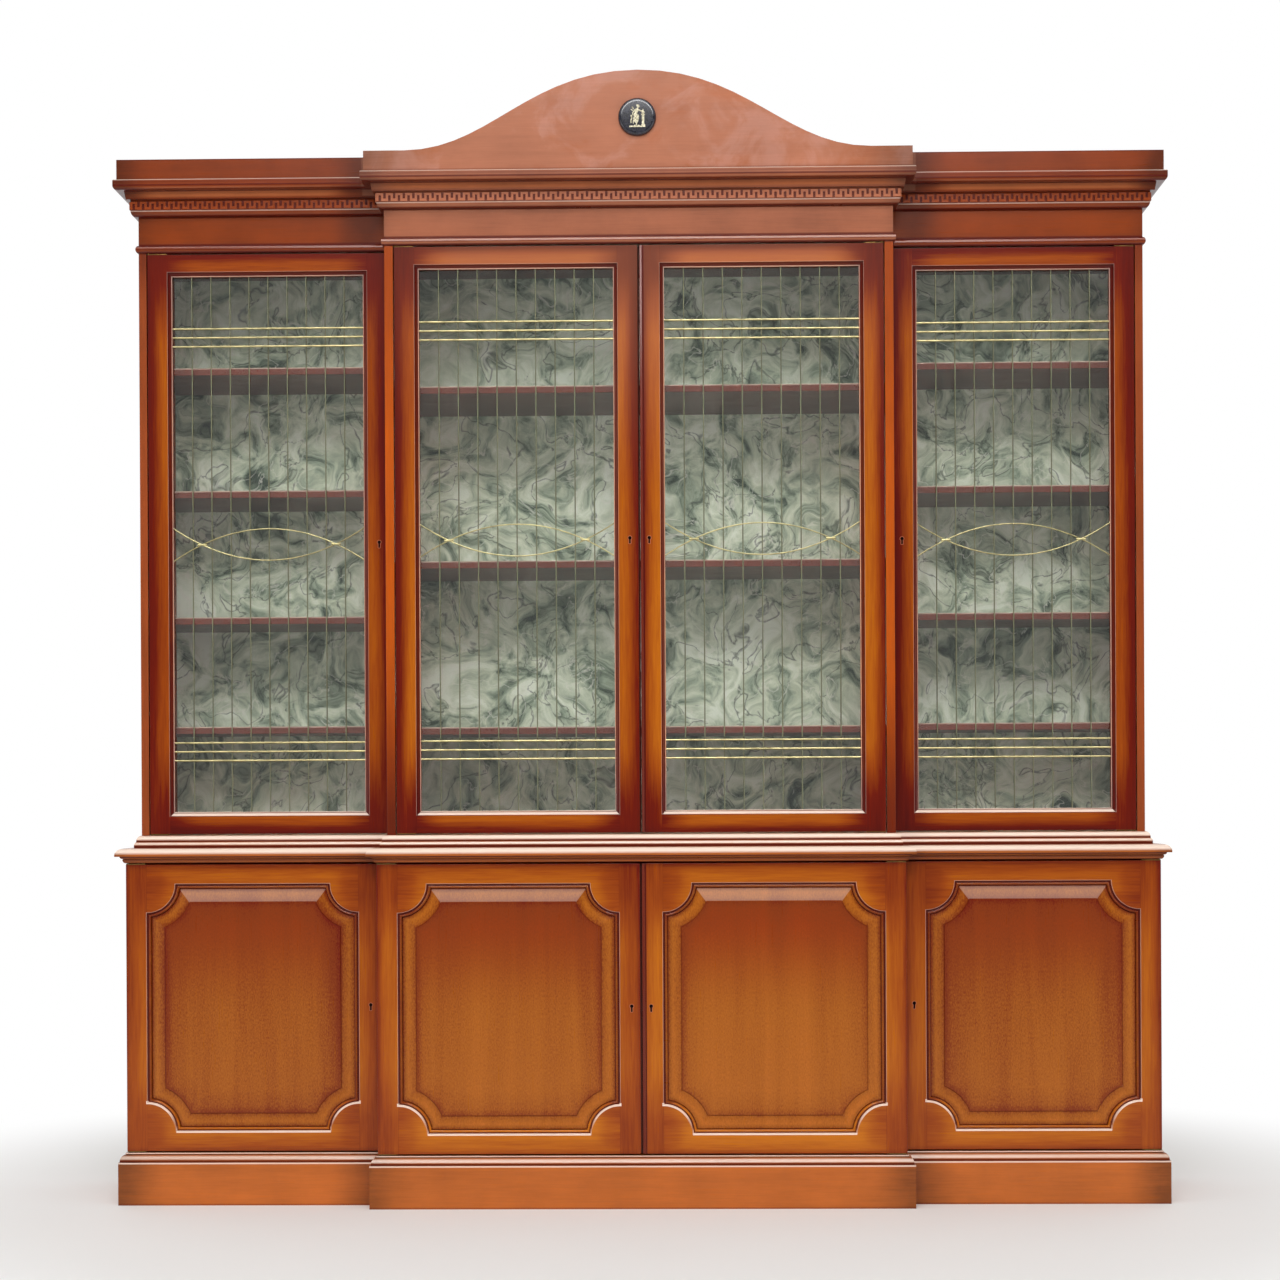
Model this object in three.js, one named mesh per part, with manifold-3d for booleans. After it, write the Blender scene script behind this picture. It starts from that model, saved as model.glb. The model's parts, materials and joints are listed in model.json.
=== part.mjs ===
// Breakfront cabinet: a closed base and a glazed upper case, each in four doors.
// The centre section stands forward of the two wings from the plinth to the cornice.
// Millimetres. +X is to the viewer's right, -Y is the front, +Z is up.
// The origin is on the floor, at the middle of the cabinet's width and depth.

import * as THREE from 'three';
import { mergeVertices } from 'three/addons/utils/BufferGeometryUtils.js';
import Module from 'manifold-3d';

// Plan
const baseHalfWidth = 1076;
const baseCentreHalfWidth = 545;
const baseWingDepth = 348;
const breakProjection = 57;
const upperSideSetback = 26;
const upperFrontSetback = 38;
const upperCentreSetback = 18;

// Heights of the main parts
const plinthHeight = 89;
const baseFloorThickness = 19;
const baseOpeningHeight = 604;
const upperOpeningHeight = 1222;
const pedimentRise = 161;

// Boards
const plinthProjection = 16;
const plinthThickness = 20;
const railThickness = 20;
const baseEndThickness = 18;
const upperEndThickness = 16;
const partitionThickness = 18;
const backThickness = 6;
const shelfThickness = 15;
const upperTopThickness = 16;
const corniceBoard = 20;
const pedimentThickness = 20;

// Plinth moulding, the edge of the base floor: a foot, an ovolo, a quirk and a fillet
const ovoloSetback = 2.5;
const ovoloFootHeight = 1.5;
const ovoloTopProjection = 4;
const plinthQuirk = 2;
const plinthFilletProjection = 3;
const plinthFilletHeight = 4;

// Counter: two bed mouldings one over the other, nose and ovolo
const counterBedHeight = 14;
const counterBedProjection = 11;
const lowerBedShare = 0.55;
const bedQuirk = 1.2;
const counterNoseStep = 9;
const counterNoseHeight = 4;
const counterOvoloHeight = 13;
const counterOvoloRun = 18;

// Waist moulding, the edge of the upper floor
const waistRiser = 5;
const waistStepHeight = 7;
const waistStepRun = 4;
const waistFillet = 3;
const waistTopHeight = 11;
const waistTopRun = 10;

// Necking, the edge of the upper top
const neckingProjection = 6;

// Cornice, from the frieze up
const friezeHeight = 59;
const bedFoot = 5;
const bedRun = 9;
const bedHeight = 12;
const keyBandHeight = 22;
const fasciaStep = 8;
const fasciaHeight = 16;
const fasciaFlare = 3;
const coronaStep = 13;
const coronaHeight = 8;
const lipStep = 7;
const lipHeight = 13;
const lipRounding = 3;
const blockingSetback = 7;
const blockingHeight = 42;
const blockingThickness = 20;

// Pediment outline, as shares of its half width along the top edge
const pedimentFootShare = 0.85;
const pedimentFootHandleShare = 0.5375;
const pedimentCrownHandleShare = 0.4015;
const pedimentCurvePoints = 14;

// Medallion
const medallionRadius = 39;
const medallionRim = 4;
const medallionDome = 6;
const medallionDrop = 98;

// Doors
const doorThickness = 22;
const doorSideGap = 2;
const doorEndGap = 3;
const meetingGap = 4;
const overlayDoorGap = 1.2;

// Glazed doors
const glazedStile = 42;
const glazedRail = 37;
const beadWidth = 9;
const quirkDrop = 2;
const coveDepth = 7.5;
const filletWidth = 2.2;
const filletDepth = 6;
const lipDepth = 10;
const rebateWidth = 8;
const glassThickness = 3;
const fitClearance = 0.3;

// Brass grille
const grilleDepth = 4.4;
const wireThickness = 2.8;
const archThickness = 2.8;
const wireCount = 9;
const grilleBarCount = 3;
const grilleBarPitch = 18.7;
const grilleBarInset = 108;
const archHeight = 72;
const archLowShare = 0.46;
const archSteps = 16;

// Base doors
const baseStile = 43;
const baseRail = 41;
const scoopRadius = 60;
const scoopSteps = 8;
const quirkWidth = 3.5;
const quirkDepth = 4;
const openingBeadWidth = 5;
const openingBeadRise = 2.2;
const openingBeadSteps = 4;
const openingDepth = 11;
const panelRebate = 9;
const panelFlange = 8;
const panelGap = 0.5;
const bevelEdgeDepth = 8;
const bevelWidth = 28;
const bevelRise = 4.5;
const fieldStep = 1.5;

// Shelves: their tops as shares of the opening that they stand in
const wingShelfShares = [0.187, 0.376, 0.594, 0.806];
const centreShelfShares = [0.183, 0.466, 0.764];
const baseShelfShares = [0.49];
const shelfSideGap = 0.5;
const shelfInset = 6;
const baseShelfInset = 24;

// Pivot hinges at the foot of every door
const hingePlateLength = 40;
const hingePlateWidth = 12;
const hingePlateThickness = 2;
const hingePinRadius = 2;
const hingePinDepth = 7;
const insetPivotFromEdge = 3;
const insetPivotFromFront = 3;
const overlayPivotFromEdge = 4;
const overlayPivotFromFront = 6;
const pinSides = 12;

// How far a cutting or joining solid runs past the face that it crosses
const overrun = 2;

// Segments in a quarter round of a moulding
const quarterSteps = 5;

// Levels
const baseFloorTop = plinthHeight + baseFloorThickness;
const counterBottom = baseFloorTop + baseOpeningHeight;
const counterThickness = counterBedHeight + counterNoseHeight + counterOvoloHeight;
const counterTop = counterBottom + counterThickness;
const waistHeight = waistRiser + waistStepHeight + waistFillet + waistTopHeight;
const upperFloorTop = counterTop + waistHeight;
const upperTopBottom = upperFloorTop + upperOpeningHeight;
const corniceBottom = upperTopBottom + upperTopThickness;
const friezeTop = corniceBottom + friezeHeight;
const keyBandBottom = friezeTop + bedHeight;
const keyBandTop = keyBandBottom + keyBandHeight;
const fasciaTop = keyBandTop + fasciaHeight;
const coronaTop = fasciaTop + coronaHeight;
const lipTop = coronaTop + lipHeight;
const blockingTop = lipTop + blockingHeight;
const pedimentTop = blockingTop + pedimentRise;

// Projections
const counterProjection = counterBedProjection + counterNoseStep;
const waistProjection = waistStepRun + waistTopRun;
const keyBandProjection = bedFoot + bedRun;
const lipProjection = keyBandProjection + fasciaStep + fasciaFlare + coronaStep + lipStep;
const blockingProjection = lipProjection - blockingSetback;

// Half widths and depths, and the planes that they give
const upperHalfWidth = baseHalfWidth - upperSideSetback;
const upperCentreHalfWidth = baseCentreHalfWidth - upperCentreSetback;
const upperWingDepth = baseWingDepth - upperFrontSetback;
const baseReach = baseWingDepth + Math.max(plinthProjection, counterProjection);
const upperReach = upperWingDepth + lipProjection;
const overallDepth = breakProjection + Math.max(baseReach, upperReach);
const backY = overallDepth / 2;
const boardBackY = backY - backThickness;
const baseWingFront = backY - baseWingDepth;
const baseCentreFront = baseWingFront - breakProjection;
const upperWingFront = backY - upperWingDepth;
const upperCentreFront = upperWingFront - breakProjection;
const overlaySetback = doorThickness + overlayDoorGap;

// Materials
const finish = (color, roughness, metalness = 0) =>
  new THREE.MeshStandardMaterial({ color, roughness, metalness });
const caseWood = finish('#8a3a14', 0.35);
const doorWood = finish('#9c4a1c', 0.35);
const panelWood = finish('#a5581f', 0.35);
const corniceWood = finish('#7d3a26', 0.35);
const shelfWood = finish('#6d2f18', 0.5);
const backPaper = finish('#9aa39a', 0.8);
const paneGlass = finish('#a9b8b0', 0.05);
paneGlass.transparent = true;
paneGlass.opacity = 0.35;
const grilleBrass = finish('#b5a055', 0.3, 1);
const hingeBrass = finish('#a58a45', 0.35, 1);
const medallionBlack = finish('#15130f', 0.25);

// A closed surface gathered from caps and skins between loops of points
class Shell {
  constructor() {
    this.positions = [];
  }

  triangle(a, b, c) {
    this.positions.push(a.x, a.y, a.z, b.x, b.y, b.z, c.x, c.y, c.z);
  }

  // A closed band between two loops of the same length
  skin(from, to, { flip = false } = {}) {
    for (let i = 0; i < from.length; i += 1) {
      const j = (i + 1) % from.length;
      if (flip) {
        this.triangle(from[i], from[j], to[i]);
        this.triangle(from[j], to[j], to[i]);
      } else {
        this.triangle(from[i], to[i], from[j]);
        this.triangle(from[j], to[i], to[j]);
      }
    }
  }

  // A flat face inside a loop, with or without holes. flatten drops a point to the face's plane.
  cap(loop, holes, flatten, flip = false) {
    const contour = loop.map(flatten);
    const faces = THREE.ShapeUtils.triangulateShape(contour, holes.map((hole) => hole.map(flatten)));
    const points = [loop, ...holes].flat();
    for (const [a, b, c] of faces) {
      if (flip) {
        this.triangle(points[a], points[c], points[b]);
      } else {
        this.triangle(points[a], points[b], points[c]);
      }
    }
  }

  geometry() {
    const geometry = new THREE.BufferGeometry();
    geometry.setAttribute('position', new THREE.Float32BufferAttribute(this.positions, 3));
    return outward(mergeVertices(geometry));
  }
}

// The same closed surface with its faces pointing out
function outward(geometry) {
  const index = geometry.getIndex();
  const position = geometry.getAttribute('position');
  const [a, b, c] = [new THREE.Vector3(), new THREE.Vector3(), new THREE.Vector3()];
  let volume = 0;
  for (let i = 0; i < index.count; i += 3) {
    a.fromBufferAttribute(position, index.getX(i));
    b.fromBufferAttribute(position, index.getX(i + 1));
    c.fromBufferAttribute(position, index.getX(i + 2));
    volume += a.dot(b.cross(c));
  }
  if (volume < 0) {
    const order = index.array;
    for (let i = 0; i < order.length; i += 3) {
      [order[i + 1], order[i + 2]] = [order[i + 2], order[i + 1]];
    }
  }
  return geometry;
}

// Booleans
const manifold = await Module();
manifold.setup();

function toSolid(geometry) {
  const bare = geometry.clone();
  bare.deleteAttribute('normal');
  bare.deleteAttribute('uv');
  const merged = mergeVertices(bare);
  return new manifold.Manifold(new manifold.Mesh({
    numProp: 3,
    vertProperties: Float32Array.from(merged.getAttribute('position').array),
    triVerts: Uint32Array.from(merged.getIndex().array),
  }));
}

function toGeometry(solid) {
  const mesh = solid.getMesh();
  const geometry = new THREE.BufferGeometry();
  geometry.setAttribute('position', new THREE.Float32BufferAttribute(mesh.vertProperties, 3));
  geometry.setIndex(Array.from(mesh.triVerts));
  return geometry;
}

function join(...geometries) {
  const [first, ...rest] = geometries.map(toSolid);
  return toGeometry(rest.reduce((sum, solid) => sum.add(solid), first));
}

function cut(geometry, tools) {
  return toGeometry(tools.map(toSolid).reduce((left, tool) => left.subtract(tool), toSolid(geometry)));
}

// A box between two corners
function block([x0, y0, z0], [x1, y1, z1]) {
  const geometry = new THREE.BoxGeometry(x1 - x0, y1 - y0, z1 - z0);
  return geometry.translate((x0 + x1) / 2, (y0 + y1) / 2, (z0 + z1) / 2);
}

// Points of an elliptical quarter from one place to another. A convex one bulges outwards.
function quarter([x0, z0], [x1, z1], convex = true) {
  const points = [];
  for (let i = 1; i <= quarterSteps; i += 1) {
    const angle = (i / quarterSteps) * (Math.PI / 2);
    const across = convex ? 1 - Math.cos(angle) : Math.sin(angle);
    const along = convex ? Math.sin(angle) : 1 - Math.cos(angle);
    points.push([x0 + (x1 - x0) * across, z0 + (z1 - z0) * along]);
  }
  return points;
}

// The breakfront's outline in plan, from the left rear corner round the front to the right rear
function breakfrontPath(halfWidth, centreHalfWidth, wingFront) {
  const centreFront = wingFront - breakProjection;
  return [
    [-halfWidth, backY],
    [-halfWidth, wingFront],
    [-centreHalfWidth, wingFront],
    [-centreHalfWidth, centreFront],
    [centreHalfWidth, centreFront],
    [centreHalfWidth, wingFront],
    [halfWidth, wingFront],
    [halfWidth, backY],
  ];
}

// At each point of a plan path, the way that one millimetre of projection moves it, mitred at corners
function mitres(path) {
  const normals = path.slice(1).map(([x, y], i) => {
    const run = new THREE.Vector2(x - path[i][0], y - path[i][1]).normalize();
    return new THREE.Vector2(run.y, -run.x);
  });
  return path.map((point, i) => {
    const before = normals[Math.max(i - 1, 0)];
    const after = normals[Math.min(i, normals.length - 1)];
    return before.clone().add(after).divideScalar(1 + before.dot(after));
  });
}

const onPath = (path, outs, projection, level) =>
  path.map(([x, y], i) => new THREE.Vector3(x + outs[i].x * projection, y + outs[i].y * projection, level));
const inPlan = (point) => new THREE.Vector2(point.x, point.y);

// A moulding: a closed profile of [projection, level] points run along a plan path with mitred corners
function runMoulding(profile, path) {
  const outs = mitres(path);
  const shell = new Shell();
  const rings = path.map((_, i) =>
    profile.map(([projection, level]) => onPath(path, outs, projection, level)[i]));
  for (let i = 1; i < rings.length; i += 1) {
    shell.skin(rings[i - 1], rings[i]);
  }
  const flat = new Map();
  for (const ring of [rings[0], rings.at(-1)]) {
    ring.forEach((point, i) => flat.set(point, new THREE.Vector2(...profile[i])));
  }
  const clockwise = THREE.ShapeUtils.isClockWise(profile.map((point) => new THREE.Vector2(...point)));
  shell.cap(rings[0], [], (point) => flat.get(point), clockwise);
  shell.cap(rings.at(-1), [], (point) => flat.get(point), !clockwise);
  return shell.geometry();
}

// A slab over a plan path, whose edge follows a profile from its underside to its top
function mouldedSlab(profile, path) {
  const outs = mitres(path);
  const shell = new Shell();
  const rings = profile.map(([projection, level]) => onPath(path, outs, projection, level));
  for (let i = 1; i < rings.length; i += 1) {
    shell.skin(rings[i - 1], rings[i], { flip: true });
  }
  shell.cap(rings[0], [], inPlan, true);
  shell.cap(rings.at(-1), [], inPlan);
  return shell.geometry();
}

// Loops in a door's own face, x across and z up, at a depth behind a given front plane
const inFace = (point) => new THREE.Vector2(point.x, point.z);

function rectangle({ x0, x1, z0, z1 }, y) {
  return [[x0, z0], [x1, z0], [x1, z1], [x0, z1]].map(([x, z]) => new THREE.Vector3(x, y, z));
}

// A rectangle drawn in by an inset, with a concave quarter round about each of its full-size corners
function scooped({ x0, x1, z0, z1 }, inset, y) {
  const radius = scoopRadius + inset;
  const start = Math.asin(inset / radius);
  const corners = [[x0, z0, 1, 1], [x1, z0, -1, 1], [x1, z1, -1, -1], [x0, z1, 1, -1]];
  const points = [];
  for (const [x, z, towardX, towardZ] of corners) {
    const rising = towardX !== towardZ;
    for (let i = 0; i <= scoopSteps; i += 1) {
      const share = rising ? i / scoopSteps : 1 - i / scoopSteps;
      const angle = start + share * (Math.PI / 2 - 2 * start);
      points.push(new THREE.Vector3(
        x + towardX * radius * Math.cos(angle),
        y,
        z + towardZ * radius * Math.sin(angle),
      ));
    }
  }
  return points;
}

const shrink = ({ x0, x1, z0, z1 }, dx, dz = dx) => ({ x0: x0 + dx, x1: x1 - dx, z0: z0 + dz, z1: z1 - dz });

// Holes in a floor or counter for the pins of the doors that stand on it
function pinHoles(doors, top) {
  return doors.map(({ pivot }) => {
    const radius = hingePinRadius + fitClearance;
    const depth = hingePinDepth + fitClearance;
    const hole = new THREE.CylinderGeometry(radius, radius, depth + overrun, pinSides);
    hole.rotateX(Math.PI / 2);
    return hole.translate(pivot.x, pivot.y, top - (depth - overrun) / 2);
  });
}

// Doors: their outlines and the pivots at their feet
const upperWingInner = upperHalfWidth - upperEndThickness;
const upperCentreInner = upperCentreHalfWidth - partitionThickness;

function doorSet({ wingFrom, wingTo, centreTo, bottom, top, wingFront, fromEdge, fromFront }) {
  const centreFront = wingFront - breakProjection;
  const halves = [
    { bay: 'wing', inner: wingTo, outer: wingFrom, front: wingFront },
    { bay: 'centre', inner: meetingGap / 2, outer: centreTo, front: centreFront },
  ];
  return halves.flatMap(({ bay, inner, outer, front }) => [-1, 1].map((side) => ({
    name: bay === 'wing' ? (side < 0 ? 'left' : 'right') : (side < 0 ? 'centre_left' : 'centre_right'),
    side,
    front,
    outline: {
      x0: side < 0 ? -outer : inner,
      x1: side < 0 ? -inner : outer,
      z0: bottom + doorEndGap,
      z1: top - doorEndGap,
    },
    pivot: new THREE.Vector2(side * (outer - fromEdge), front + fromFront),
  })));
}

const glazedDoors = doorSet({
  wingFrom: upperWingInner - doorSideGap,
  wingTo: upperCentreHalfWidth + doorSideGap,
  centreTo: upperCentreInner - doorSideGap,
  bottom: upperFloorTop,
  top: upperTopBottom,
  wingFront: upperWingFront,
  fromEdge: insetPivotFromEdge,
  fromFront: insetPivotFromFront,
});

const baseDoors = doorSet({
  wingFrom: baseHalfWidth,
  wingTo: baseCentreHalfWidth + doorSideGap,
  centreTo: baseCentreHalfWidth,
  bottom: baseFloorTop,
  top: counterBottom,
  wingFront: baseWingFront,
  fromEdge: overlayPivotFromEdge,
  fromFront: overlayPivotFromFront,
});

// Plans
const basePath = breakfrontPath(baseHalfWidth, baseCentreHalfWidth, baseWingFront);
const upperPath = breakfrontPath(upperHalfWidth, upperCentreHalfWidth, upperWingFront);

function plinth() {
  const inner = plinthProjection - plinthThickness;
  const frame = runMoulding([
    [inner, 0],
    [plinthProjection, 0],
    [plinthProjection, plinthHeight],
    [inner, plinthHeight],
  ], basePath);
  const reach = baseHalfWidth + inner + overrun;
  const rail = block([-reach, backY - railThickness, 0], [reach, backY, plinthHeight]);
  return join(frame, rail);
}

function baseFloor() {
  const foot = plinthProjection - ovoloSetback;
  const ovoloFoot = plinthHeight + ovoloFootHeight;
  const filletFoot = baseFloorTop - plinthFilletHeight;
  const slab = mouldedSlab([
    [foot, plinthHeight],
    [foot, ovoloFoot],
    ...quarter([foot, ovoloFoot], [ovoloTopProjection, filletFoot]),
    [plinthFilletProjection - plinthQuirk, filletFoot],
    [plinthFilletProjection, filletFoot + plinthQuirk / 2],
    [plinthFilletProjection, baseFloorTop],
  ], basePath);
  return cut(slab, pinHoles(baseDoors, baseFloorTop));
}

function counter() {
  const noseBottom = counterBottom + counterBedHeight;
  const noseTop = noseBottom + counterNoseHeight;
  const lowerTop = counterBottom + counterBedHeight * lowerBedShare;
  const lowerProjection = counterBedProjection * lowerBedShare;
  return mouldedSlab([
    [0, counterBottom],
    ...quarter([0, counterBottom], [lowerProjection, lowerTop], false),
    [lowerProjection - bedQuirk, lowerTop],
    [lowerProjection - bedQuirk, lowerTop + bedQuirk],
    ...quarter([lowerProjection - bedQuirk, lowerTop + bedQuirk], [counterBedProjection, noseBottom], false),
    [counterProjection, noseBottom],
    [counterProjection, noseTop],
    ...quarter([counterProjection, noseTop], [counterProjection - counterOvoloRun, counterTop]),
  ], basePath);
}

function upperFloor() {
  const stepTop = counterTop + waistRiser + waistStepHeight;
  const slab = mouldedSlab([
    [waistProjection, counterTop],
    [waistProjection, counterTop + waistRiser],
    ...quarter([waistProjection, counterTop + waistRiser], [waistTopRun, stepTop]),
    [waistTopRun, stepTop + waistFillet],
    ...quarter([waistTopRun, stepTop + waistFillet], [0, upperFloorTop]),
  ], upperPath);
  return cut(slab, pinHoles(glazedDoors, upperFloorTop));
}

function upperTop() {
  const middle = upperTopBottom + upperTopThickness / 2;
  return mouldedSlab([
    [0, upperTopBottom],
    ...quarter([0, upperTopBottom], [neckingProjection, middle], false),
    ...quarter([neckingProjection, middle], [0, corniceBottom]),
  ], upperPath);
}

// Pairs of upright boards, one on each side, from the back to a plane behind the doors
function boards(name, material, { inner, outer, front, rear, bottom, top }) {
  return [-1, 1].map((side) => {
    const [x0, x1] = [side * inner, side * outer].sort((a, b) => a - b);
    const geometry = block([x0, front, bottom], [x1, rear, top]);
    return { name: `${name}_${side < 0 ? 'left' : 'right'}`, geometry, material };
  });
}

function backBoard(halfWidth, bottom, top) {
  return block([-halfWidth, boardBackY, bottom], [halfWidth, backY, top]);
}

function cornice() {
  const keyFace = keyBandProjection;
  const fasciaFoot = keyFace + fasciaStep;
  const fasciaHead = fasciaFoot + fasciaFlare;
  const corona = fasciaHead + coronaStep;
  const profile = [
    [-corniceBoard, corniceBottom],
    [0, corniceBottom],
    [0, friezeTop],
    [bedFoot, friezeTop],
    ...quarter([bedFoot, friezeTop], [keyFace, keyBandBottom], false),
    [keyFace, keyBandTop],
    [fasciaFoot, keyBandTop],
    [fasciaHead, fasciaTop],
    [corona, fasciaTop],
    ...quarter([corona, fasciaTop], [corona + lipStep, coronaTop], false),
    [lipProjection, lipTop - lipRounding],
    ...quarter([lipProjection, lipTop - lipRounding], [lipProjection - lipRounding, lipTop]),
    [-corniceBoard, lipTop],
  ];
  const reach = upperHalfWidth - corniceBoard + overrun;
  const rail = block([-reach, backY - railThickness, corniceBottom], [reach, backY, lipTop]);
  return join(runMoulding(profile, upperPath), rail, ...[-1, 1].map(blocking));
}

// The plain band above the lip of one wing, returned along the side of the centre to the pediment
function blocking(side) {
  const pedimentRear = upperCentreFront - blockingProjection + pedimentThickness;
  const path = [
    [-upperHalfWidth, backY],
    [-upperHalfWidth, upperWingFront],
    [-upperCentreHalfWidth, upperWingFront],
    [-upperCentreHalfWidth, pedimentRear],
  ];
  const inner = blockingProjection - blockingThickness;
  const band = runMoulding([
    [inner, lipTop - overrun],
    [blockingProjection, lipTop - overrun],
    [blockingProjection, blockingTop],
    [inner, blockingTop],
  ], path);
  return side < 0 ? band : outward(mergeVertices(band.scale(-1, 1, 1)));
}

function pediment() {
  const halfWidth = upperCentreHalfWidth + blockingProjection;
  const shape = new THREE.Shape();
  shape.moveTo(-halfWidth, lipTop);
  shape.lineTo(halfWidth, lipTop);
  shape.lineTo(halfWidth, blockingTop);
  shape.lineTo(halfWidth * pedimentFootShare, blockingTop);
  shape.bezierCurveTo(
    halfWidth * pedimentFootHandleShare, blockingTop,
    halfWidth * pedimentCrownHandleShare, pedimentTop,
    0, pedimentTop,
  );
  shape.bezierCurveTo(
    -halfWidth * pedimentCrownHandleShare, pedimentTop,
    -halfWidth * pedimentFootHandleShare, blockingTop,
    -halfWidth * pedimentFootShare, blockingTop,
  );
  shape.lineTo(-halfWidth, blockingTop);
  const board = new THREE.ExtrudeGeometry(shape, {
    depth: pedimentThickness,
    bevelEnabled: false,
    curveSegments: pedimentCurvePoints,
  });
  board.rotateX(Math.PI / 2);
  return board.translate(0, pedimentFront + pedimentThickness, 0);
}

const pedimentFront = upperCentreFront - blockingProjection;

// A black dished disc with a raised rim, lying on the pediment's face
function medallion() {
  const profile = [
    [0, 0],
    [medallionRadius, 0],
    [medallionRadius, medallionRim],
    [medallionRadius - medallionRim, medallionRim],
    ...quarter([medallionRadius - medallionRim, medallionRim], [0, medallionRim + medallionDome]),
  ];
  const disc = new THREE.LatheGeometry(profile.map((point) => new THREE.Vector2(...point)), 4 * scoopSteps);
  disc.rotateX(Math.PI);
  return disc.translate(0, pedimentFront, pedimentTop - medallionDrop);
}

function shelf(x0, x1, front, topLevel) {
  return block(
    [x0 + shelfSideGap, front, topLevel - shelfThickness],
    [x1 - shelfSideGap, boardBackY - shelfSideGap, topLevel],
  );
}

function shelves({ prefix, shares, x0, x1, front, bottom, height }) {
  return shares.map((share, i) => ({
    name: `${prefix}_${i + 1}`,
    geometry: shelf(x0, x1, front, bottom + share * height),
    material: shelfWood,
  }));
}

// A door frame round a square glazed opening, with a rebate behind it.
// From the face inwards its moulding is a quirk, a cove and a raised fillet.
function glazedFrame({ outline, front }) {
  const edge = shrink(outline, glazedStile, glazedRail);
  const sight = shrink(edge, beadWidth);
  const rebate = shrink(sight, -rebateWidth);
  const back = front + doorThickness;
  const coveWidth = beadWidth - filletWidth;
  const shell = new Shell();
  const face = [rectangle(outline, front), rectangle(outline, back)];
  const inner = [
    rectangle(edge, front),
    rectangle(edge, front + quirkDrop),
    ...quarter([0, quirkDrop], [coveWidth, coveDepth], true)
      .map(([across, depth]) => rectangle(shrink(edge, across), front + depth)),
    rectangle(shrink(edge, coveWidth), front + filletDepth),
    rectangle(sight, front + filletDepth),
    rectangle(sight, front + lipDepth),
    rectangle(rebate, front + lipDepth),
    rectangle(rebate, back),
  ];
  shell.cap(face[0], [inner[0]], inFace);
  shell.cap(face[1], [inner.at(-1)], inFace, true);
  shell.skin(face[0], face[1]);
  for (let i = 1; i < inner.length; i += 1) {
    shell.skin(inner[i - 1], inner[i], { flip: true });
  }
  return shell.geometry();
}

const rebateOf = ({ outline }) =>
  shrink(shrink(outline, glazedStile, glazedRail), beadWidth - rebateWidth + fitClearance);

function pane(door) {
  const { x0, x1, z0, z1 } = rebateOf(door);
  const y = door.front + lipDepth + grilleDepth + fitClearance;
  return block([x0, y, z0], [x1, y + glassThickness, z1]);
}

// A bar of the grille, centred in the grille's depth
function bar(x0, x1, z0, z1, middle, thickness) {
  return block([x0, middle - thickness / 2, z0], [x1, middle + thickness / 2, z1]);
}

// A flat strip on a parabola from side to side. Its middle stands off its ends by the rise.
function arch({ x0, x1 }, endLevel, rise, middle) {
  const half = archThickness / 2;
  const width = x1 - x0;
  const points = [];
  for (let i = 0; i <= archSteps; i += 1) {
    const share = i / archSteps;
    const slope = (4 * rise * (1 - 2 * share)) / width;
    const stretch = Math.hypot(1, slope);
    points.push([x0 + share * width, endLevel + 4 * rise * share * (1 - share), half * stretch]);
  }
  const shape = new THREE.Shape([
    ...points.map(([x, z, offset]) => new THREE.Vector2(x, z - offset)),
    ...points.toReversed().map(([x, z, offset]) => new THREE.Vector2(x, z + offset)),
  ]);
  const strip = new THREE.ExtrudeGeometry(shape, { depth: archThickness, bevelEnabled: false });
  strip.rotateX(Math.PI / 2);
  return strip.translate(0, middle + half, 0);
}

function grille(door) {
  const { x0, x1, z0, z1 } = rebateOf(door);
  const sight = shrink(door.outline, glazedStile + beadWidth, glazedRail + beadWidth);
  const middle = door.front + lipDepth + grilleDepth / 2;
  const pitch = (sight.x1 - sight.x0) / (wireCount + 1);
  const members = [];
  for (let i = 1; i <= wireCount; i += 1) {
    const x = sight.x0 + i * pitch;
    members.push(bar(x - wireThickness / 2, x + wireThickness / 2, z0, z1, middle, wireThickness));
  }
  for (let i = 0; i < grilleBarCount; i += 1) {
    const inset = grilleBarInset + i * grilleBarPitch;
    for (const z of [sight.z0 + inset, sight.z1 - inset]) {
      members.push(bar(x0, x1, z - grilleDepth / 2, z + grilleDepth / 2, middle, grilleDepth));
    }
  }
  const centre = (sight.z0 + sight.z1) / 2;
  const low = archHeight * archLowShare;
  members.push(arch({ x0, x1 }, centre + archHeight - low, -archHeight, middle));
  members.push(arch({ x0, x1 }, centre - archHeight + low, archHeight, middle));
  return join(...members);
}

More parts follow.
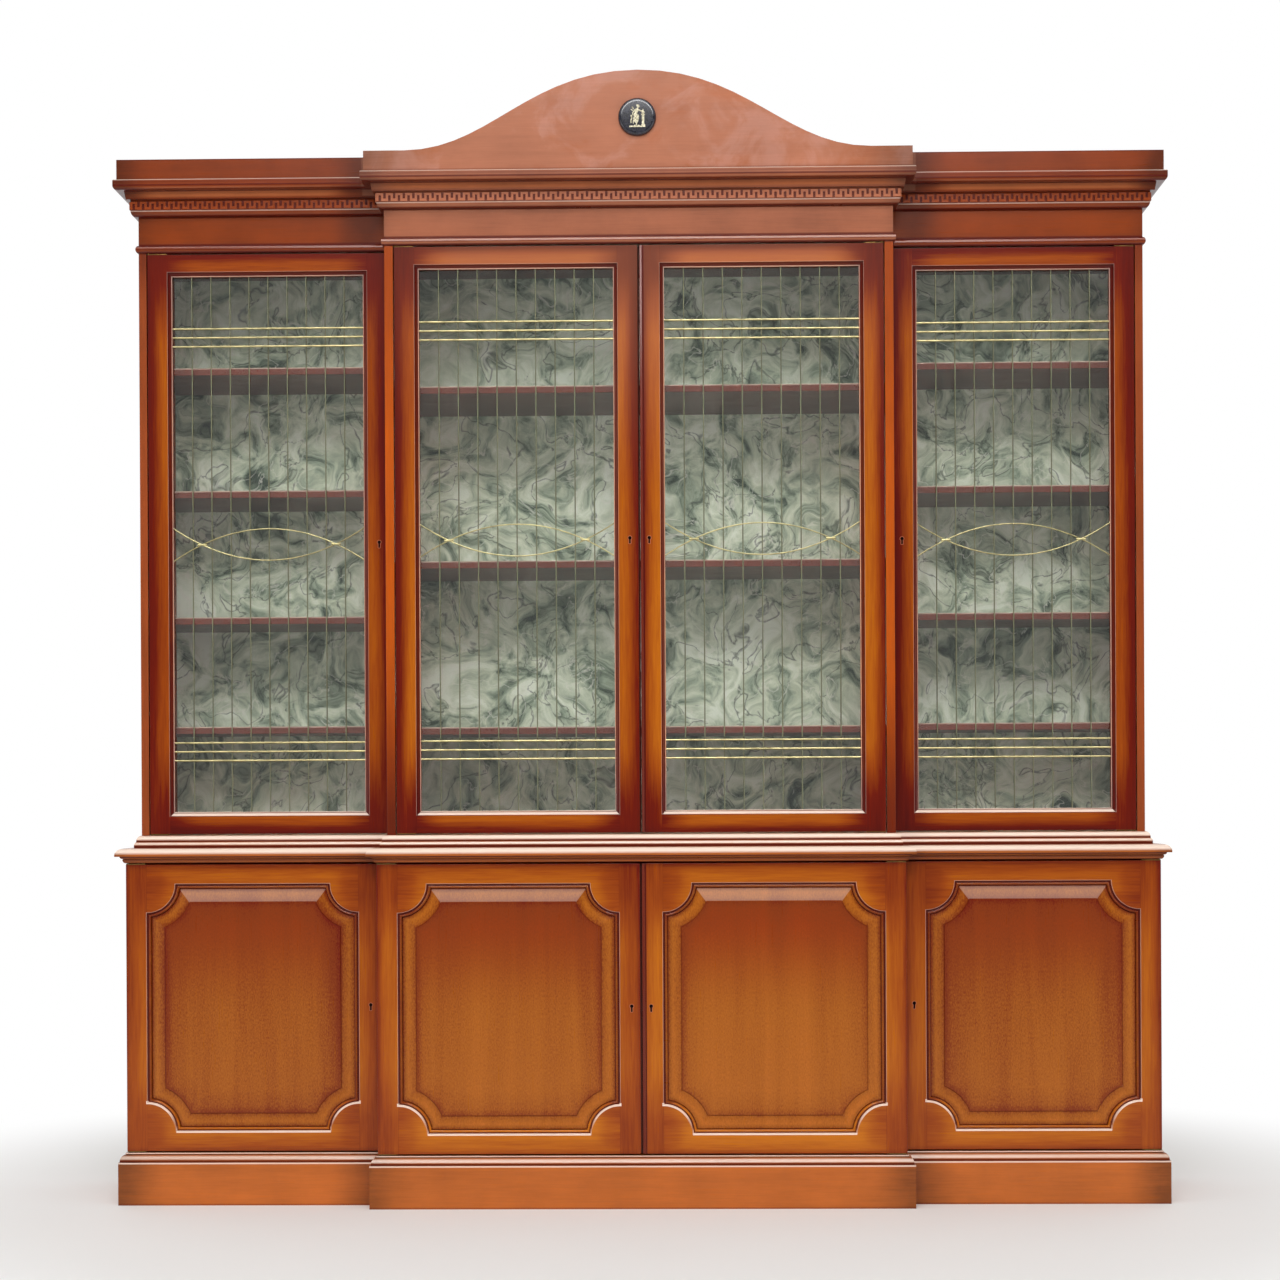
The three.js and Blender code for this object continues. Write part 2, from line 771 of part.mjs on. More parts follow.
// A base door's frame: a sunk opening with scooped corners, and a square rebate behind for the panel.
// Inside the opening's edge run a quirk and a half round bead.
function baseFrame({ outline, front }) {
  const opening = shrink(outline, baseStile, baseRail);
  const rebate = shrink(opening, -panelRebate);
  const back = front + doorThickness;
  const shell = new Shell();
  const bead = [];
  for (let i = 0; i <= openingBeadSteps; i += 1) {
    const angle = (i / openingBeadSteps) * Math.PI;
    const inset = quirkWidth + (openingBeadWidth * (1 - Math.cos(angle))) / 2;
    bead.push(scooped(opening, inset, front + quirkDepth - openingBeadRise * Math.sin(angle)));
  }
  const inner = [
    scooped(opening, 0, front),
    scooped(opening, 0, front + quirkDepth),
    ...bead,
    scooped(opening, quirkWidth + openingBeadWidth, front + openingDepth),
  ];
  const outer = [rectangle(outline, front), rectangle(outline, back)];
  const seat = [rectangle(rebate, front + openingDepth), rectangle(rebate, back)];
  shell.cap(outer[0], [inner[0]], inFace);
  shell.cap(outer[1], [seat[1]], inFace, true);
  shell.skin(outer[0], outer[1]);
  for (let i = 1; i < inner.length; i += 1) {
    shell.skin(inner[i - 1], inner[i], { flip: true });
  }
  shell.cap(seat[0], [inner.at(-1)], inFace, true);
  shell.skin(seat[0], seat[1], { flip: true });
  return shell.geometry();
}

// A raised and fielded panel: a square flange in the rebate, a bevel and a flat field
function basePanel({ outline, front }) {
  const opening = shrink(outline, baseStile, baseRail);
  const flange = shrink(opening, fitClearance - panelRebate);
  const seat = front + openingDepth;
  const edge = quirkWidth + openingBeadWidth + panelGap;
  const field = edge + bevelWidth;
  const shell = new Shell();
  const raised = [
    scooped(opening, edge, seat),
    scooped(opening, edge, front + bevelEdgeDepth),
    scooped(opening, field, front + bevelEdgeDepth - bevelRise),
    scooped(opening, field + fieldStep, front + bevelEdgeDepth - bevelRise - fieldStep),
  ];
  const rear = rectangle(flange, seat + panelFlange);
  const faces = rectangle(flange, seat);
  shell.cap(rear, [], inFace, true);
  shell.skin(faces, rear);
  shell.cap(faces, [raised[0]], inFace);
  for (let i = 1; i < raised.length; i += 1) {
    shell.skin(raised[i], raised[i - 1]);
  }
  shell.cap(raised.at(-1), [], inFace);
  return shell.geometry();
}

// The plate under a door's foot, with the pin that it turns on
function pivotHinge({ outline, side, front, pivot }) {
  const outer = side < 0 ? outline.x0 : outline.x1;
  const near = outer - side * fitClearance;
  const far = near - side * hingePlateLength;
  const plateBottom = outline.z0 - hingePlateThickness;
  const plate = block(
    [Math.min(near, far), front + fitClearance, plateBottom],
    [Math.max(near, far), front + fitClearance + hingePlateWidth, outline.z0],
  );
  const length = hingePinDepth + doorEndGap;
  const pin = new THREE.CylinderGeometry(hingePinRadius, hingePinRadius, length, pinSides);
  pin.rotateX(Math.PI / 2);
  pin.translate(pivot.x, pivot.y, outline.z0 - length / 2 - fitClearance);
  return join(plate, pin);
}

const pieces = [
  { name: 'plinth', geometry: plinth(), material: caseWood },
  { name: 'base_floor', geometry: baseFloor(), material: caseWood },
  ...boards('base_end', caseWood, {
    inner: baseHalfWidth - baseEndThickness,
    outer: baseHalfWidth,
    front: baseWingFront + overlaySetback,
    rear: backY,
    bottom: baseFloorTop,
    top: counterBottom,
  }),
  ...boards('base_partition', caseWood, {
    inner: baseCentreHalfWidth - partitionThickness,
    outer: baseCentreHalfWidth,
    front: baseCentreFront + overlaySetback,
    rear: boardBackY,
    bottom: baseFloorTop,
    top: counterBottom,
  }),
  {
    name: 'base_back',
    geometry: backBoard(baseHalfWidth - baseEndThickness, baseFloorTop, counterBottom),
    material: shelfWood,
  },
  { name: 'counter_top', geometry: counter(), material: caseWood },
  { name: 'upper_floor', geometry: upperFloor(), material: caseWood },
  ...boards('upper_end', caseWood, {
    inner: upperWingInner,
    outer: upperHalfWidth,
    front: upperWingFront,
    rear: backY,
    bottom: upperFloorTop,
    top: upperTopBottom,
  }),
  ...boards('upper_partition', caseWood, {
    inner: upperCentreInner,
    outer: upperCentreHalfWidth,
    front: upperCentreFront,
    rear: boardBackY,
    bottom: upperFloorTop,
    top: upperTopBottom,
  }),
  {
    name: 'upper_back',
    geometry: backBoard(upperWingInner, upperFloorTop, upperTopBottom),
    material: backPaper,
  },
  { name: 'upper_top', geometry: upperTop(), material: caseWood },
  { name: 'cornice', geometry: cornice(), material: corniceWood },
  { name: 'pediment', geometry: pediment(), material: corniceWood },
  { name: 'medallion', geometry: medallion(), material: medallionBlack },
];

// Shelves stand in bays between two uprights
const shelfBays = [
  { place: 'left', x0: -upperWingInner, x1: -upperCentreHalfWidth, front: upperWingFront },
  { place: 'centre', x0: -upperCentreInner, x1: upperCentreInner, front: upperCentreFront },
  { place: 'right', x0: upperCentreHalfWidth, x1: upperWingInner, front: upperWingFront },
];
const baseInner = baseHalfWidth - baseEndThickness;
const baseCentreInner = baseCentreHalfWidth - partitionThickness;
const baseShelfBays = [
  { place: 'left', x0: -baseInner, x1: -baseCentreHalfWidth, front: baseWingFront },
  { place: 'centre', x0: -baseCentreInner, x1: baseCentreInner, front: baseCentreFront },
  { place: 'right', x0: baseCentreHalfWidth, x1: baseInner, front: baseWingFront },
];

for (const { place, x0, x1, front } of shelfBays) {
  pieces.push(...shelves({
    prefix: `shelf_${place}`,
    shares: place === 'centre' ? centreShelfShares : wingShelfShares,
    x0,
    x1,
    front: front + doorThickness + shelfInset,
    bottom: upperFloorTop,
    height: upperOpeningHeight,
  }));
}
for (const { place, x0, x1, front } of baseShelfBays) {
  pieces.push(...shelves({
    prefix: `base_shelf_${place}`,
    shares: baseShelfShares,
    x0,
    x1,
    front: front + overlaySetback + baseShelfInset,
    bottom: baseFloorTop,
    height: baseOpeningHeight,
  }));
}
for (const door of glazedDoors) {
  pieces.push(
    { name: `glazed_frame_${door.name}`, geometry: glazedFrame(door), material: doorWood },
    { name: `glass_${door.name}`, geometry: pane(door), material: paneGlass },
    { name: `grille_${door.name}`, geometry: grille(door), material: grilleBrass },
    { name: `upper_hinge_${door.name}`, geometry: pivotHinge(door), material: hingeBrass },
  );
}
for (const door of baseDoors) {
  pieces.push(
    { name: `base_frame_${door.name}`, geometry: baseFrame(door), material: doorWood },
    { name: `base_panel_${door.name}`, geometry: basePanel(door), material: panelWood },
    { name: `base_hinge_${door.name}`, geometry: pivotHinge(door), material: hingeBrass },
  );
}

const group = new THREE.Group();
for (const { name, geometry, material } of pieces) {
  const mesh = new THREE.Mesh(geometry, material);
  mesh.name = name;
  group.add(mesh);
}

export default group;
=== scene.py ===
"""Dresses the breakfront cabinet: finishes, trim, grilles, medallion, fittings, light and camera.

The solids of the cabinet are loaded as a fixed frame in metres. +X is to the viewer's right,
-Y is the front and +Z is up. New pieces are made where the frame says and ride on its bodies.
"""

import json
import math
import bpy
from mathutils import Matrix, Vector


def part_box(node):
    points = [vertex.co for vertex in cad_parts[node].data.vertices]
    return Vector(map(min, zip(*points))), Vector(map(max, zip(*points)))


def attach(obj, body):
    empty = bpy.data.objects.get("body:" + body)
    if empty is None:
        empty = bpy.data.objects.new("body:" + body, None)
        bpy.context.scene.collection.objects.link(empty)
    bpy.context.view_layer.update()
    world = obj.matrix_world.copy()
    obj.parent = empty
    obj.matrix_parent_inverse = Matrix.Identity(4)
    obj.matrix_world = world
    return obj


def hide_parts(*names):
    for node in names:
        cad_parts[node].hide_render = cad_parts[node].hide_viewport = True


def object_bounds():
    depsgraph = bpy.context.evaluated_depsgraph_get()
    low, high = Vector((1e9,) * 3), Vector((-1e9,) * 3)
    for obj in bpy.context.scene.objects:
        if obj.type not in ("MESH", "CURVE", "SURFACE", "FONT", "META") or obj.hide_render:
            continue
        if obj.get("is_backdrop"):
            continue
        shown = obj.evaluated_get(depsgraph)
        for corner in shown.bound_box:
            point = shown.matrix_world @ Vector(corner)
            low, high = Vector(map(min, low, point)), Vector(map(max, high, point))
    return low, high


bl_info = {
    "name": "Breakfront Cabinet",
    "version": (1, 0, 0),
    "blender": (4, 5, 0),
    "location": "View3D > Sidebar > Cabinet",
    "description": "Finishes and fittings of a glazed mahogany breakfront cabinet",
    "category": "Object",
}

import bmesh
import bpy
from bpy.props import FloatProperty, FloatVectorProperty, IntProperty, PointerProperty
from mathutils import Matrix, Vector

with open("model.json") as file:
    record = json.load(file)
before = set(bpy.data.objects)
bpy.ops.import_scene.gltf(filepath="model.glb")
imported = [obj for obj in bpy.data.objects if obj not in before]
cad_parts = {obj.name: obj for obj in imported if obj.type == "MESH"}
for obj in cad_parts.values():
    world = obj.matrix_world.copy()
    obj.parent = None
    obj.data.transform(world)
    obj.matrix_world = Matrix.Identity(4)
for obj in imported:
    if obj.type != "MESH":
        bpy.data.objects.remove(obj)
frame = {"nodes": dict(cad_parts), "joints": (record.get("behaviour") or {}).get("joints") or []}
cad_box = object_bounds()

MM = 0.001
ROOT = "carcass"
PLACES = ("left", "centre_left", "centre_right", "right")

# Sockets of the Mix node by what it mixes
FACTOR = 0
FLOAT_A, FLOAT_B = 2, 3
VECTOR_A, VECTOR_B = 4, 5
COLOUR_A, COLOUR_B = 6, 7


def linear(hex_colour):
    """A colour written as sRGB hex, as linear RGBA."""
    channels = [int(hex_colour[i : i + 2], 16) / 255 for i in (1, 3, 5)]
    opened = (c / 12.92 if c <= 0.04045 else ((c + 0.055) / 1.055) ** 2.4 for c in channels)
    return (*opened, 1.0)


# Sizes and colours


def length(name, description, millimetres):
    return FloatProperty(
        name=name, description=description, default=millimetres * MM, unit="LENGTH", precision=4
    )


def colour(name, description, hex_colour):
    return FloatVectorProperty(
        name=name,
        description=description,
        default=linear(hex_colour),
        size=4,
        min=0.0,
        max=1.0,
        subtype="COLOR",
    )


class CabinetSizes(bpy.types.PropertyGroup):
    """Sizes of the pieces that dress the cabinet."""

    arris: length("Arris", "Width of the worn rounding on the edges of the woodwork", 0.8)
    panel_tongue: length("Panel tongue", "How far a panel runs into the groove of its door", 8.7)
    glazed_stile: length("Glazed stile", "Width of a glazed door's stile on its face", 42)
    glazed_rail: length("Glazed rail", "Height of a glazed door's rail on its face", 37)
    glazed_moulding: length("Glazed moulding", "Width of the moulding round the glass", 9)
    base_stile: length("Base stile", "Width of a base door's stile on its face", 43)
    base_rail: length("Base rail", "Height of a base door's rail on its face", 41)
    scoop: length("Scoop radius", "Radius of the scooped corners of a base door's opening", 60)
    fret_period: length("Fret period", "Length of one turn of the key fret", 20)
    fret_height: length("Fret height", "Height of the key fret", 17)
    fret_level: length("Fret level", "Height of the fret's foot from the floor", 2079.5)
    fret_bottom: length("Fret bottom bar", "Height of the fret's bottom bar", 5.8)
    fret_top: length("Fret top bar", "Height of the fret's top bar", 4.6)
    fret_thickness: length("Fret thickness", "How far the key fret stands off its ground", 2.4)
    key_face: length("Key band projection", "How far the fret's ground stands off the frieze", 14)
    wire: length("Wire", "Diameter of the grille's upright wires", 2.8)
    bar: length("Bar", "Diameter of the grille's cross bars", 4.4)
    bar_pitch: length("Bar pitch", "Distance between cross bars", 18.7)
    bar_inset: length("Bar inset", "From the sight edge to the first cross bar", 108)
    arch_height: length("Arch height", "Rise of the grille's crossing arches", 72)
    arch_low: FloatProperty(
        name="Arch low share",
        description="Share of an arch's rise that lies past the middle of the grille",
        default=0.46,
        subtype="FACTOR",
    )
    wires: IntProperty(name="Wires", description="Upright wires in one grille", default=9, min=1)
    bars: IntProperty(name="Bars", description="Cross bars at a grille's ends", default=3, min=1)
    keyhole_height: length("Keyhole height", "Height of a keyhole's lining", 15.5)
    keyhole_width: length("Keyhole width", "Width of a keyhole's round head", 7.4)
    keyhole_inset: length("Keyhole inset", "From the door's opening edge to the keyhole", 18)
    keyhole_rim: length("Keyhole rim", "Width of the rubbed rim round a keyhole", 1.1)
    meeting_bead: length("Meeting bead", "Width of the bead on a meeting edge", 6)
    binding: length("Binding", "Length of the wrapping where the arches cross", 20)
    lock_height: length("Lock height", "Height of a lock's case", 45)
    lock_width: length("Lock width", "Width of a lock's case", 32)
    lock_thickness: length("Lock thickness", "Thickness of a lock's case", 8)
    keyhole_upper: length("Upper keyhole level", "Height of an upper keyhole from the floor", 1378)
    keyhole_base: length("Base keyhole level", "Height of a base keyhole from the floor", 411)
    peg: length("Peg", "Diameter of a shelf peg", 5)
    figure_height: length("Figure height", "Height of the ornament on the medallion", 48)


class CabinetColours(bpy.types.PropertyGroup):
    """Colours of the cabinet's finishes."""

    # Also the painted shade in quirks, coves, gaps and under projecting members
    stain: colour("Stain", "Mahogany at its darkest, in quirks and at a door's rim", "#520a04")
    edge: colour("Edge", "Mahogany near the outer edges of a door", "#681401")
    body: colour("Body", "Mahogany at its usual depth", "#964306")
    glow: colour("Glow", "Mahogany at its lightest, beside an opening", "#bd6a0f")
    field: colour("Field", "Mahogany veneer in the middle of a panel", "#a05814")
    # Painted shade: a panel's head, darker and redder, away from the floor's painted reflection
    field_head: colour("Field head", "Redder veneer at the head of a panel", "#8a3404")
    field_dark: colour("Field dark", "Veneer in the dark margin of a panel", "#7c3208")
    # Also the painted highlight on noses, fillets, arrises and members that face up
    worn_and_highlit: colour("Worn", "Mahogany rubbed pale on arrises and beads", "#f4ddcc")
    case: colour("Case", "Mahogany of the plinth and the case", "#a4561f")
    crown: colour("Crown", "Redder mahogany of the cornice's wings", "#7e340f")
    # A painted reflection of the sky, pale and pink, on the crown's centre and the centre doors'
    # heads
    sky_sheen: colour("Faded", "Mahogany faded by light, on the centre of the crown", "#9a5a3e")
    # Mahogany paled pink by a painted reflection of the sky
    pediment: colour("Pediment", "Paler mahogany of the pediment", "#ac6c50")
    # Pink patches of painted sky reflection on the pediment
    pink_sheen: colour("Bleached", "Patches of the pediment that have bleached pink", "#bd8878")
    # Warmer patches of the pediment, and the painted light on the cornice's fascia
    tan: colour("Tan", "Patches of the pediment that have kept their colour", "#a65a30")
    # Painted light: the lighter middle of the wings' frieze
    frieze: colour("Frieze", "Glowing middle of the wings' frieze", "#803408")
    ends: colour("Ends", "Mahogany of the outer uprights", "#94451f")
    strip: colour("Strip", "Bright mahogany of the uprights between doors", "#b4500c")
    shelf: colour("Shelf", "Mahogany of the shelves and the inside of the case", "#5a2214")
    board: colour("Board", "Bare plywood of the backs", "#9a744a")
    paper_light: colour("Paper light", "Ivory of the marbled paper", "#f6f8ea")
    paper_pale: colour("Paper pale", "Pale green of the marbled paper", "#e2e6d2")
    paper_sage: colour("Paper sage", "Sage green of the marbled paper", "#98a490")
    vein_dark: colour("Dark vein", "Dark veins of the marbled paper", "#39443b")
    vein_pale: colour("Pale vein", "Ivory veins of the marbled paper", "#f4f1e6")
    paper_middle: colour("Paper middle", "Sage grey of the marbled paper", "#c8d0b9")
    paper_dark: colour("Paper dark", "Slate green of the marbled paper", "#435246")
    brass: colour("Grille brass", "Brass of the grilles' bars", "#c8be8c")
    brass_aged: colour("Aged brass", "Dull brass of the grilles' wires", "#8b8d72")
    hinge: colour("Hinge brass", "Aged brass of hinges and pegs", "#7d6136")
    bead: colour("Bead", "Mahogany of the beads on the meeting doors", "#6a2414")
    rim: colour("Keyhole rim", "Rubbed wood round a keyhole", "#b0694c")
    # Painted shade: the black of a keyhole's shallow floor stands in for the hole's depth
    hole: colour("Hole", "Inside of a keyhole, black with age", "#120403")
    glass: colour("Glass", "Faint green of the window glass", "#f7fbf8")
    glass_shadow: colour("Glass shadow", "What the glass lets through of the light", "#fafcfa")
    black: colour("Black", "Black glaze of the medallion", "#1d1d26")
    gilt: colour("Gilt", "Gilding of the medallion's ornament", "#b9ac6e")
    gilt_rubbed: colour("Rubbed gilt", "Gilding rubbed to ivory", "#f0e8cc")
    floor: colour("Floor", "The pale floor that the cabinet stands on", "#eae9e7")


def sizes():
    return bpy.context.scene.cabinet_sizes


def colours():
    return bpy.context.scene.cabinet_colours


# Making and placing pieces


def deselect():
    if bpy.context.mode != "OBJECT":
        bpy.ops.object.mode_set(mode="OBJECT")
    bpy.ops.object.select_all(action="DESELECT")


def activate(*pieces):
    """Select only these pieces, with the first one active."""
    deselect()
    for piece in pieces:
        piece.select_set(True)
    bpy.context.view_layer.objects.active = pieces[0]


def new_piece(name):
    """The primitive that was just added, under its own name, in edit mode and all selected."""
    piece = bpy.context.object
    piece.name = name
    piece.data.name = name
    bpy.ops.object.mode_set(mode="EDIT")
    bpy.ops.mesh.select_all(action="SELECT")
    return piece


def select(piece, kind, wanted):
    """In edit mode, select the faces, edges or vertices that pass a test.

    It is given a face's middle and normal, an edge's middle and span, or a vertex's place.
    """
    kinds = ("VERT", "EDGE", "FACE")
    bpy.context.tool_settings.mesh_select_mode = tuple(kind == each for each in kinds)
    mesh = bmesh.from_edit_mesh(piece.data)
    for parts in (mesh.faces, mesh.edges, mesh.verts):
        for part in parts:
            part.select = False
    if kind == "FACE":
        for face in mesh.faces:
            if wanted(face.calc_center_median(), face.normal):
                face.select_set(True)
    elif kind == "EDGE":
        for edge in mesh.edges:
            start, end = (vertex.co for vertex in edge.verts)
            if wanted((start + end) / 2, end - start):
                edge.select_set(True)
    else:
        for vertex in mesh.verts:
            if wanted(vertex.co):
                vertex.select_set(True)
    bmesh.update_edit_mesh(piece.data)


def outward():
    """In edit mode, merge doubles and turn every face outwards."""
    bpy.ops.mesh.select_all(action="SELECT")
    bpy.ops.mesh.remove_doubles(threshold=0.01 * MM)
    bpy.ops.mesh.normals_make_consistent(inside=False)


def extrude(x=0.0, y=0.0, z=0.0):
    """In edit mode, extrude what is selected by a distance."""
    bpy.ops.mesh.extrude_region_move(TRANSFORM_OT_translate={"value": (x, y, z)})


def settle(piece, smooth=35):
    """Leave edit mode, put the piece's place into its mesh and shade it smooth up to an angle."""
    activate(piece)
    bpy.ops.object.transform_apply(location=True, rotation=True, scale=True)
    if smooth:
        bpy.ops.object.shade_smooth_by_angle(angle=math.radians(smooth))
    return piece


def apply_modifier(piece, kind, **settings):
    """Add a modifier with its settings and apply it."""
    activate(piece)
    modifier = piece.modifiers.new(kind.title(), kind)
    for name, value in settings.items():
        setattr(modifier, name, value)
    bpy.ops.object.modifier_apply(modifier=modifier.name)


def round_edges(piece, width, segments=2, angle=30):
    limit = {"limit_method": "ANGLE", "angle_limit": math.radians(angle)}
    apply_modifier(piece, "BEVEL", width=width, segments=segments, **limit)


def copy_of(piece, name, move=(0, 0, 0), turn=0.0, mirror=False):
    """A copy with its own mesh, mirrored in X, turned about the vertical and moved."""
    made = piece.copy()
    made.data = piece.data.copy()
    made.name = made.data.name = name
    bpy.context.scene.collection.objects.link(made)
    activate(made)
    made.scale.x = -1 if mirror else 1
    made.rotation_euler.z = turn
    made.location = move
    settle(made, smooth=0)
    if mirror:
        bpy.ops.object.mode_set(mode="EDIT")
        bpy.ops.mesh.select_all(action="SELECT")
        bpy.ops.mesh.normals_make_consistent(inside=False)
        bpy.ops.object.mode_set(mode="OBJECT")
    return made


def joined(name, pieces):
    """Several pieces as one, under a name."""
    activate(*pieces)
    if len(pieces) > 1:
        bpy.ops.object.join()
    made = bpy.context.object
    made.name = made.data.name = name
    return made


def finished(piece, material, body):
    """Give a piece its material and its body."""
    deselect()
    piece.data.materials.clear()
    piece.data.materials.append(material)
    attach(piece, body)
    return piece


def mark(piece, values):
    """Write a value on each vertex of a piece, by its place, for its material to read."""
    layer = piece.data.attributes.new("tone", "FLOAT", "POINT")
    for vertex in piece.data.vertices:
        layer.data[vertex.index].value = values(vertex.co)


def block(name, low, high, bevel=0.0):
    """A rectangular piece between two corners, with all its edges rounded."""
    low, high = Vector(low), Vector(high)
    deselect()
    bpy.ops.mesh.primitive_cube_add(size=1)
    piece = new_piece(name)
    bpy.ops.transform.resize(value=tuple(high - low))
    bpy.ops.transform.translate(value=tuple((low + high) / 2))
    bpy.ops.object.mode_set(mode="OBJECT")
    settle(piece, smooth=0)
    if bevel:
        round_edges(piece, bevel)
    return piece


def disc(name, radius, height, middle, along="Z"):
    """A low round piece with a softened face, standing on its middle along Z or Y."""
    deselect()
    bpy.ops.mesh.primitive_cylinder_add(vertices=16, radius=radius, depth=height)
    piece = new_piece(name)
    bpy.ops.transform.translate(value=(0, 0, height / 2))
    select(piece, "FACE", lambda p, n: n.z > 0.9)
    bpy.ops.mesh.inset(thickness=0.3 * radius)
    bpy.ops.transform.translate(value=(0, 0, 0.12 * height))
    deselect()
    if along == "Y":
        piece.rotation_euler.x = -math.pi / 2
    piece.location = middle
    return settle(piece)


def dress(names, material, arris=None):
    """Give nodes of the frame a material and, where asked, rounded arrises."""
    for name in names:
        node = frame["nodes"][name]
        for place in node.material_slots:
            place.material = material
        if arris:
            weld = node.modifiers.new("Weld", "WELD")
            weld.merge_threshold = 0.02 * MM
            bevel = node.modifiers.new("Arris", "BEVEL")
            bevel.width = arris
            bevel.segments = 2
            bevel.limit_method = "ANGLE"
            bevel.angle_limit = math.radians(40)
            bevel.harden_normals = True


# Materials


def add_node(tree, kind, inputs=None, stops=None, **settings):
    """Add a node with its settings. An input is a value, an output or a node with one output.

    The stops are those of a colour ramp, each (position, colour).
    """
    made = tree.nodes.new(kind)
    for name, value in settings.items():
        setattr(made, name, value)
    for key, value in (inputs or {}).items():
        if isinstance(value, bpy.types.Node):
            value = next(output for output in value.outputs if output.enabled)
        if isinstance(value, bpy.types.NodeSocket):
            tree.links.new(value, made.inputs[key])
        else:
            made.inputs[key].default_value = value
    if stops:
        elements = made.color_ramp.elements
        elements.remove(elements[-1])
        elements[0].position, elements[0].color = stops[0]
        for position, tone in stops[1:]:
            elements.new(position).color = tone
    return made


def product(tree, *values):
    """The product of several values."""
    made = values[0]
    for value in values[1:]:
        made = add_node(tree, "ShaderNodeMath", {0: made, 1: value}, operation="MULTIPLY")
    return made


def rising(tree, value, low, high):
    """0 below low and 1 above high, with a smooth step between."""
    return add_node(
        tree,
        "ShaderNodeMapRange",
        {"Value": value, "From Min": low, "From Max": high},
        interpolation_type="SMOOTHSTEP",
    )


def new_material(name):
    """An empty material, its node tree and the place of a point on its object, in metres."""
    material = bpy.data.materials.new(name)
    material.use_nodes = True
    tree = material.node_tree
    tree.nodes.clear()
    return material, tree, add_node(tree, "ShaderNodeTexCoord").outputs["Object"]


def grey(value):
    return (value, value, value, 1.0)


def scaled(tone, factor):
    """A colour made darker or lighter by a factor."""
    return tuple(min(factor * channel, 1.0) for channel in tone[:3]) + (1.0,)


def distance_in(tree, value, middle, half):
    """How far a coordinate lies inside a span about a middle."""
    offset = add_node(tree, "ShaderNodeMath", {0: value, 1: middle}, operation="SUBTRACT")
    size = add_node(tree, "ShaderNodeMath", {0: offset}, operation="ABSOLUTE")
    return add_node(tree, "ShaderNodeMath", {0: half, 1: size}, operation="SUBTRACT")


def scooped_distance(tree, across, up, radius):
    """How far a point lies inside an opening whose corners are scooped to a radius."""
    plan = add_node(tree, "ShaderNodeCombineXYZ", {0: across, 1: up})
    corner = add_node(tree, "ShaderNodeVectorMath", {0: plan}, operation="MAXIMUM")
    reach = add_node(
        tree, "ShaderNodeVectorMath", {0: corner}, operation="LENGTH"
    ).outputs["Value"]
    past = add_node(tree, "ShaderNodeMath", {0: reach, 1: radius}, operation="SUBTRACT")
    nearer = add_node(tree, "ShaderNodeMath", {0: across, 1: up}, operation="MINIMUM")
    return add_node(tree, "ShaderNodeMath", {0: nearer, 1: past}, operation="MINIMUM")


def grain(tree, position, vertical, seed):
    """Streaks and broad figure of the grain, from 0 to 1, along X and Y or along Z.

    vertical is 1 where the grain stands upright and 0 where it lies level.
    """
    stretch = add_node(
        tree,
        "ShaderNodeMix",
        {FACTOR: vertical, VECTOR_A: (0.05, 0.12, 1.0), VECTOR_B: (1.0, 1.0, 0.05)},
        data_type="VECTOR",
    )
    stretched = add_node(
        tree, "ShaderNodeVectorMath", {0: position, 1: stretch}, operation="MULTIPLY"
    )
    placed = add_node(
        tree,
        "ShaderNodeVectorMath",
        {0: stretched, 1: (seed, seed * 0.37, seed * 0.61)},
        operation="ADD",
    )
    # Streaks are about 3 mm wide and 60 mm long, the figure about 40 mm wide
    streaks = add_node(
        tree,
        "ShaderNodeTexNoise",
        {"Vector": placed, "Scale": 260.0, "Detail": 5.0, "Roughness": 0.62, "Distortion": 0.4},
    )
    figure = add_node(
        tree,
        "ShaderNodeTexNoise",
        {"Vector": placed, "Scale": 22.0, "Detail": 3.0, "Distortion": 0.6},
    )
    return streaks, figure


def about_zero(tree, value):
    """A noise's value about 0 instead of a half."""
    return add_node(tree, "ShaderNodeMath", {0: value, 1: 0.5}, operation="SUBTRACT")


def varied(tree, shade, wood, streak_share, figure_share):
    """A shade with the streaks and figure of a wood's grain added about it."""
    streaks, figure = (about_zero(tree, value) for value in wood)
    streaked = add_node(
        tree, "ShaderNodeMath", {0: streaks, 1: streak_share, 2: shade}, operation="MULTIPLY_ADD"
    )
    return add_node(
        tree,
        "ShaderNodeMath",
        {0: figure, 1: figure_share, 2: streaked},
        operation="MULTIPLY_ADD",
        use_clamp=True,
    )


def mahogany(tree, shade):
    """The tone of stained mahogany from its darkest to its lightest."""
    c = colours()
    return add_node(
        tree,
        "ShaderNodeValToRGB",
        {0: shade},
        ((0.0, c.stain), (0.25, c.edge), (0.6, c.body), (0.95, c.glow)),
    )


def toned(tree, shade, base):
    """A wood's tone about a base colour, darker and lighter by its grain."""
    return add_node(
        tree,
        "ShaderNodeValToRGB",
        {0: shade},
        ((0.1, scaled(base, 0.5)), (0.5, base), (0.9, scaled(base, 1.45))),
    )


def backed(tree, tone, y, back, wood):
    """A door's tone, which gives way to plain mahogany on its back."""
    behind = add_node(tree, "ShaderNodeMath", {0: y, 1: back - SKIN}, operation="GREATER_THAN")
    plain = mahogany(tree, varied(tree, 0.46, wood, 0.4, 0.5))
    return add_node(
        tree, "ShaderNodeMix", {FACTOR: behind, COLOUR_A: tone, COLOUR_B: plain}, data_type="RGBA"
    )


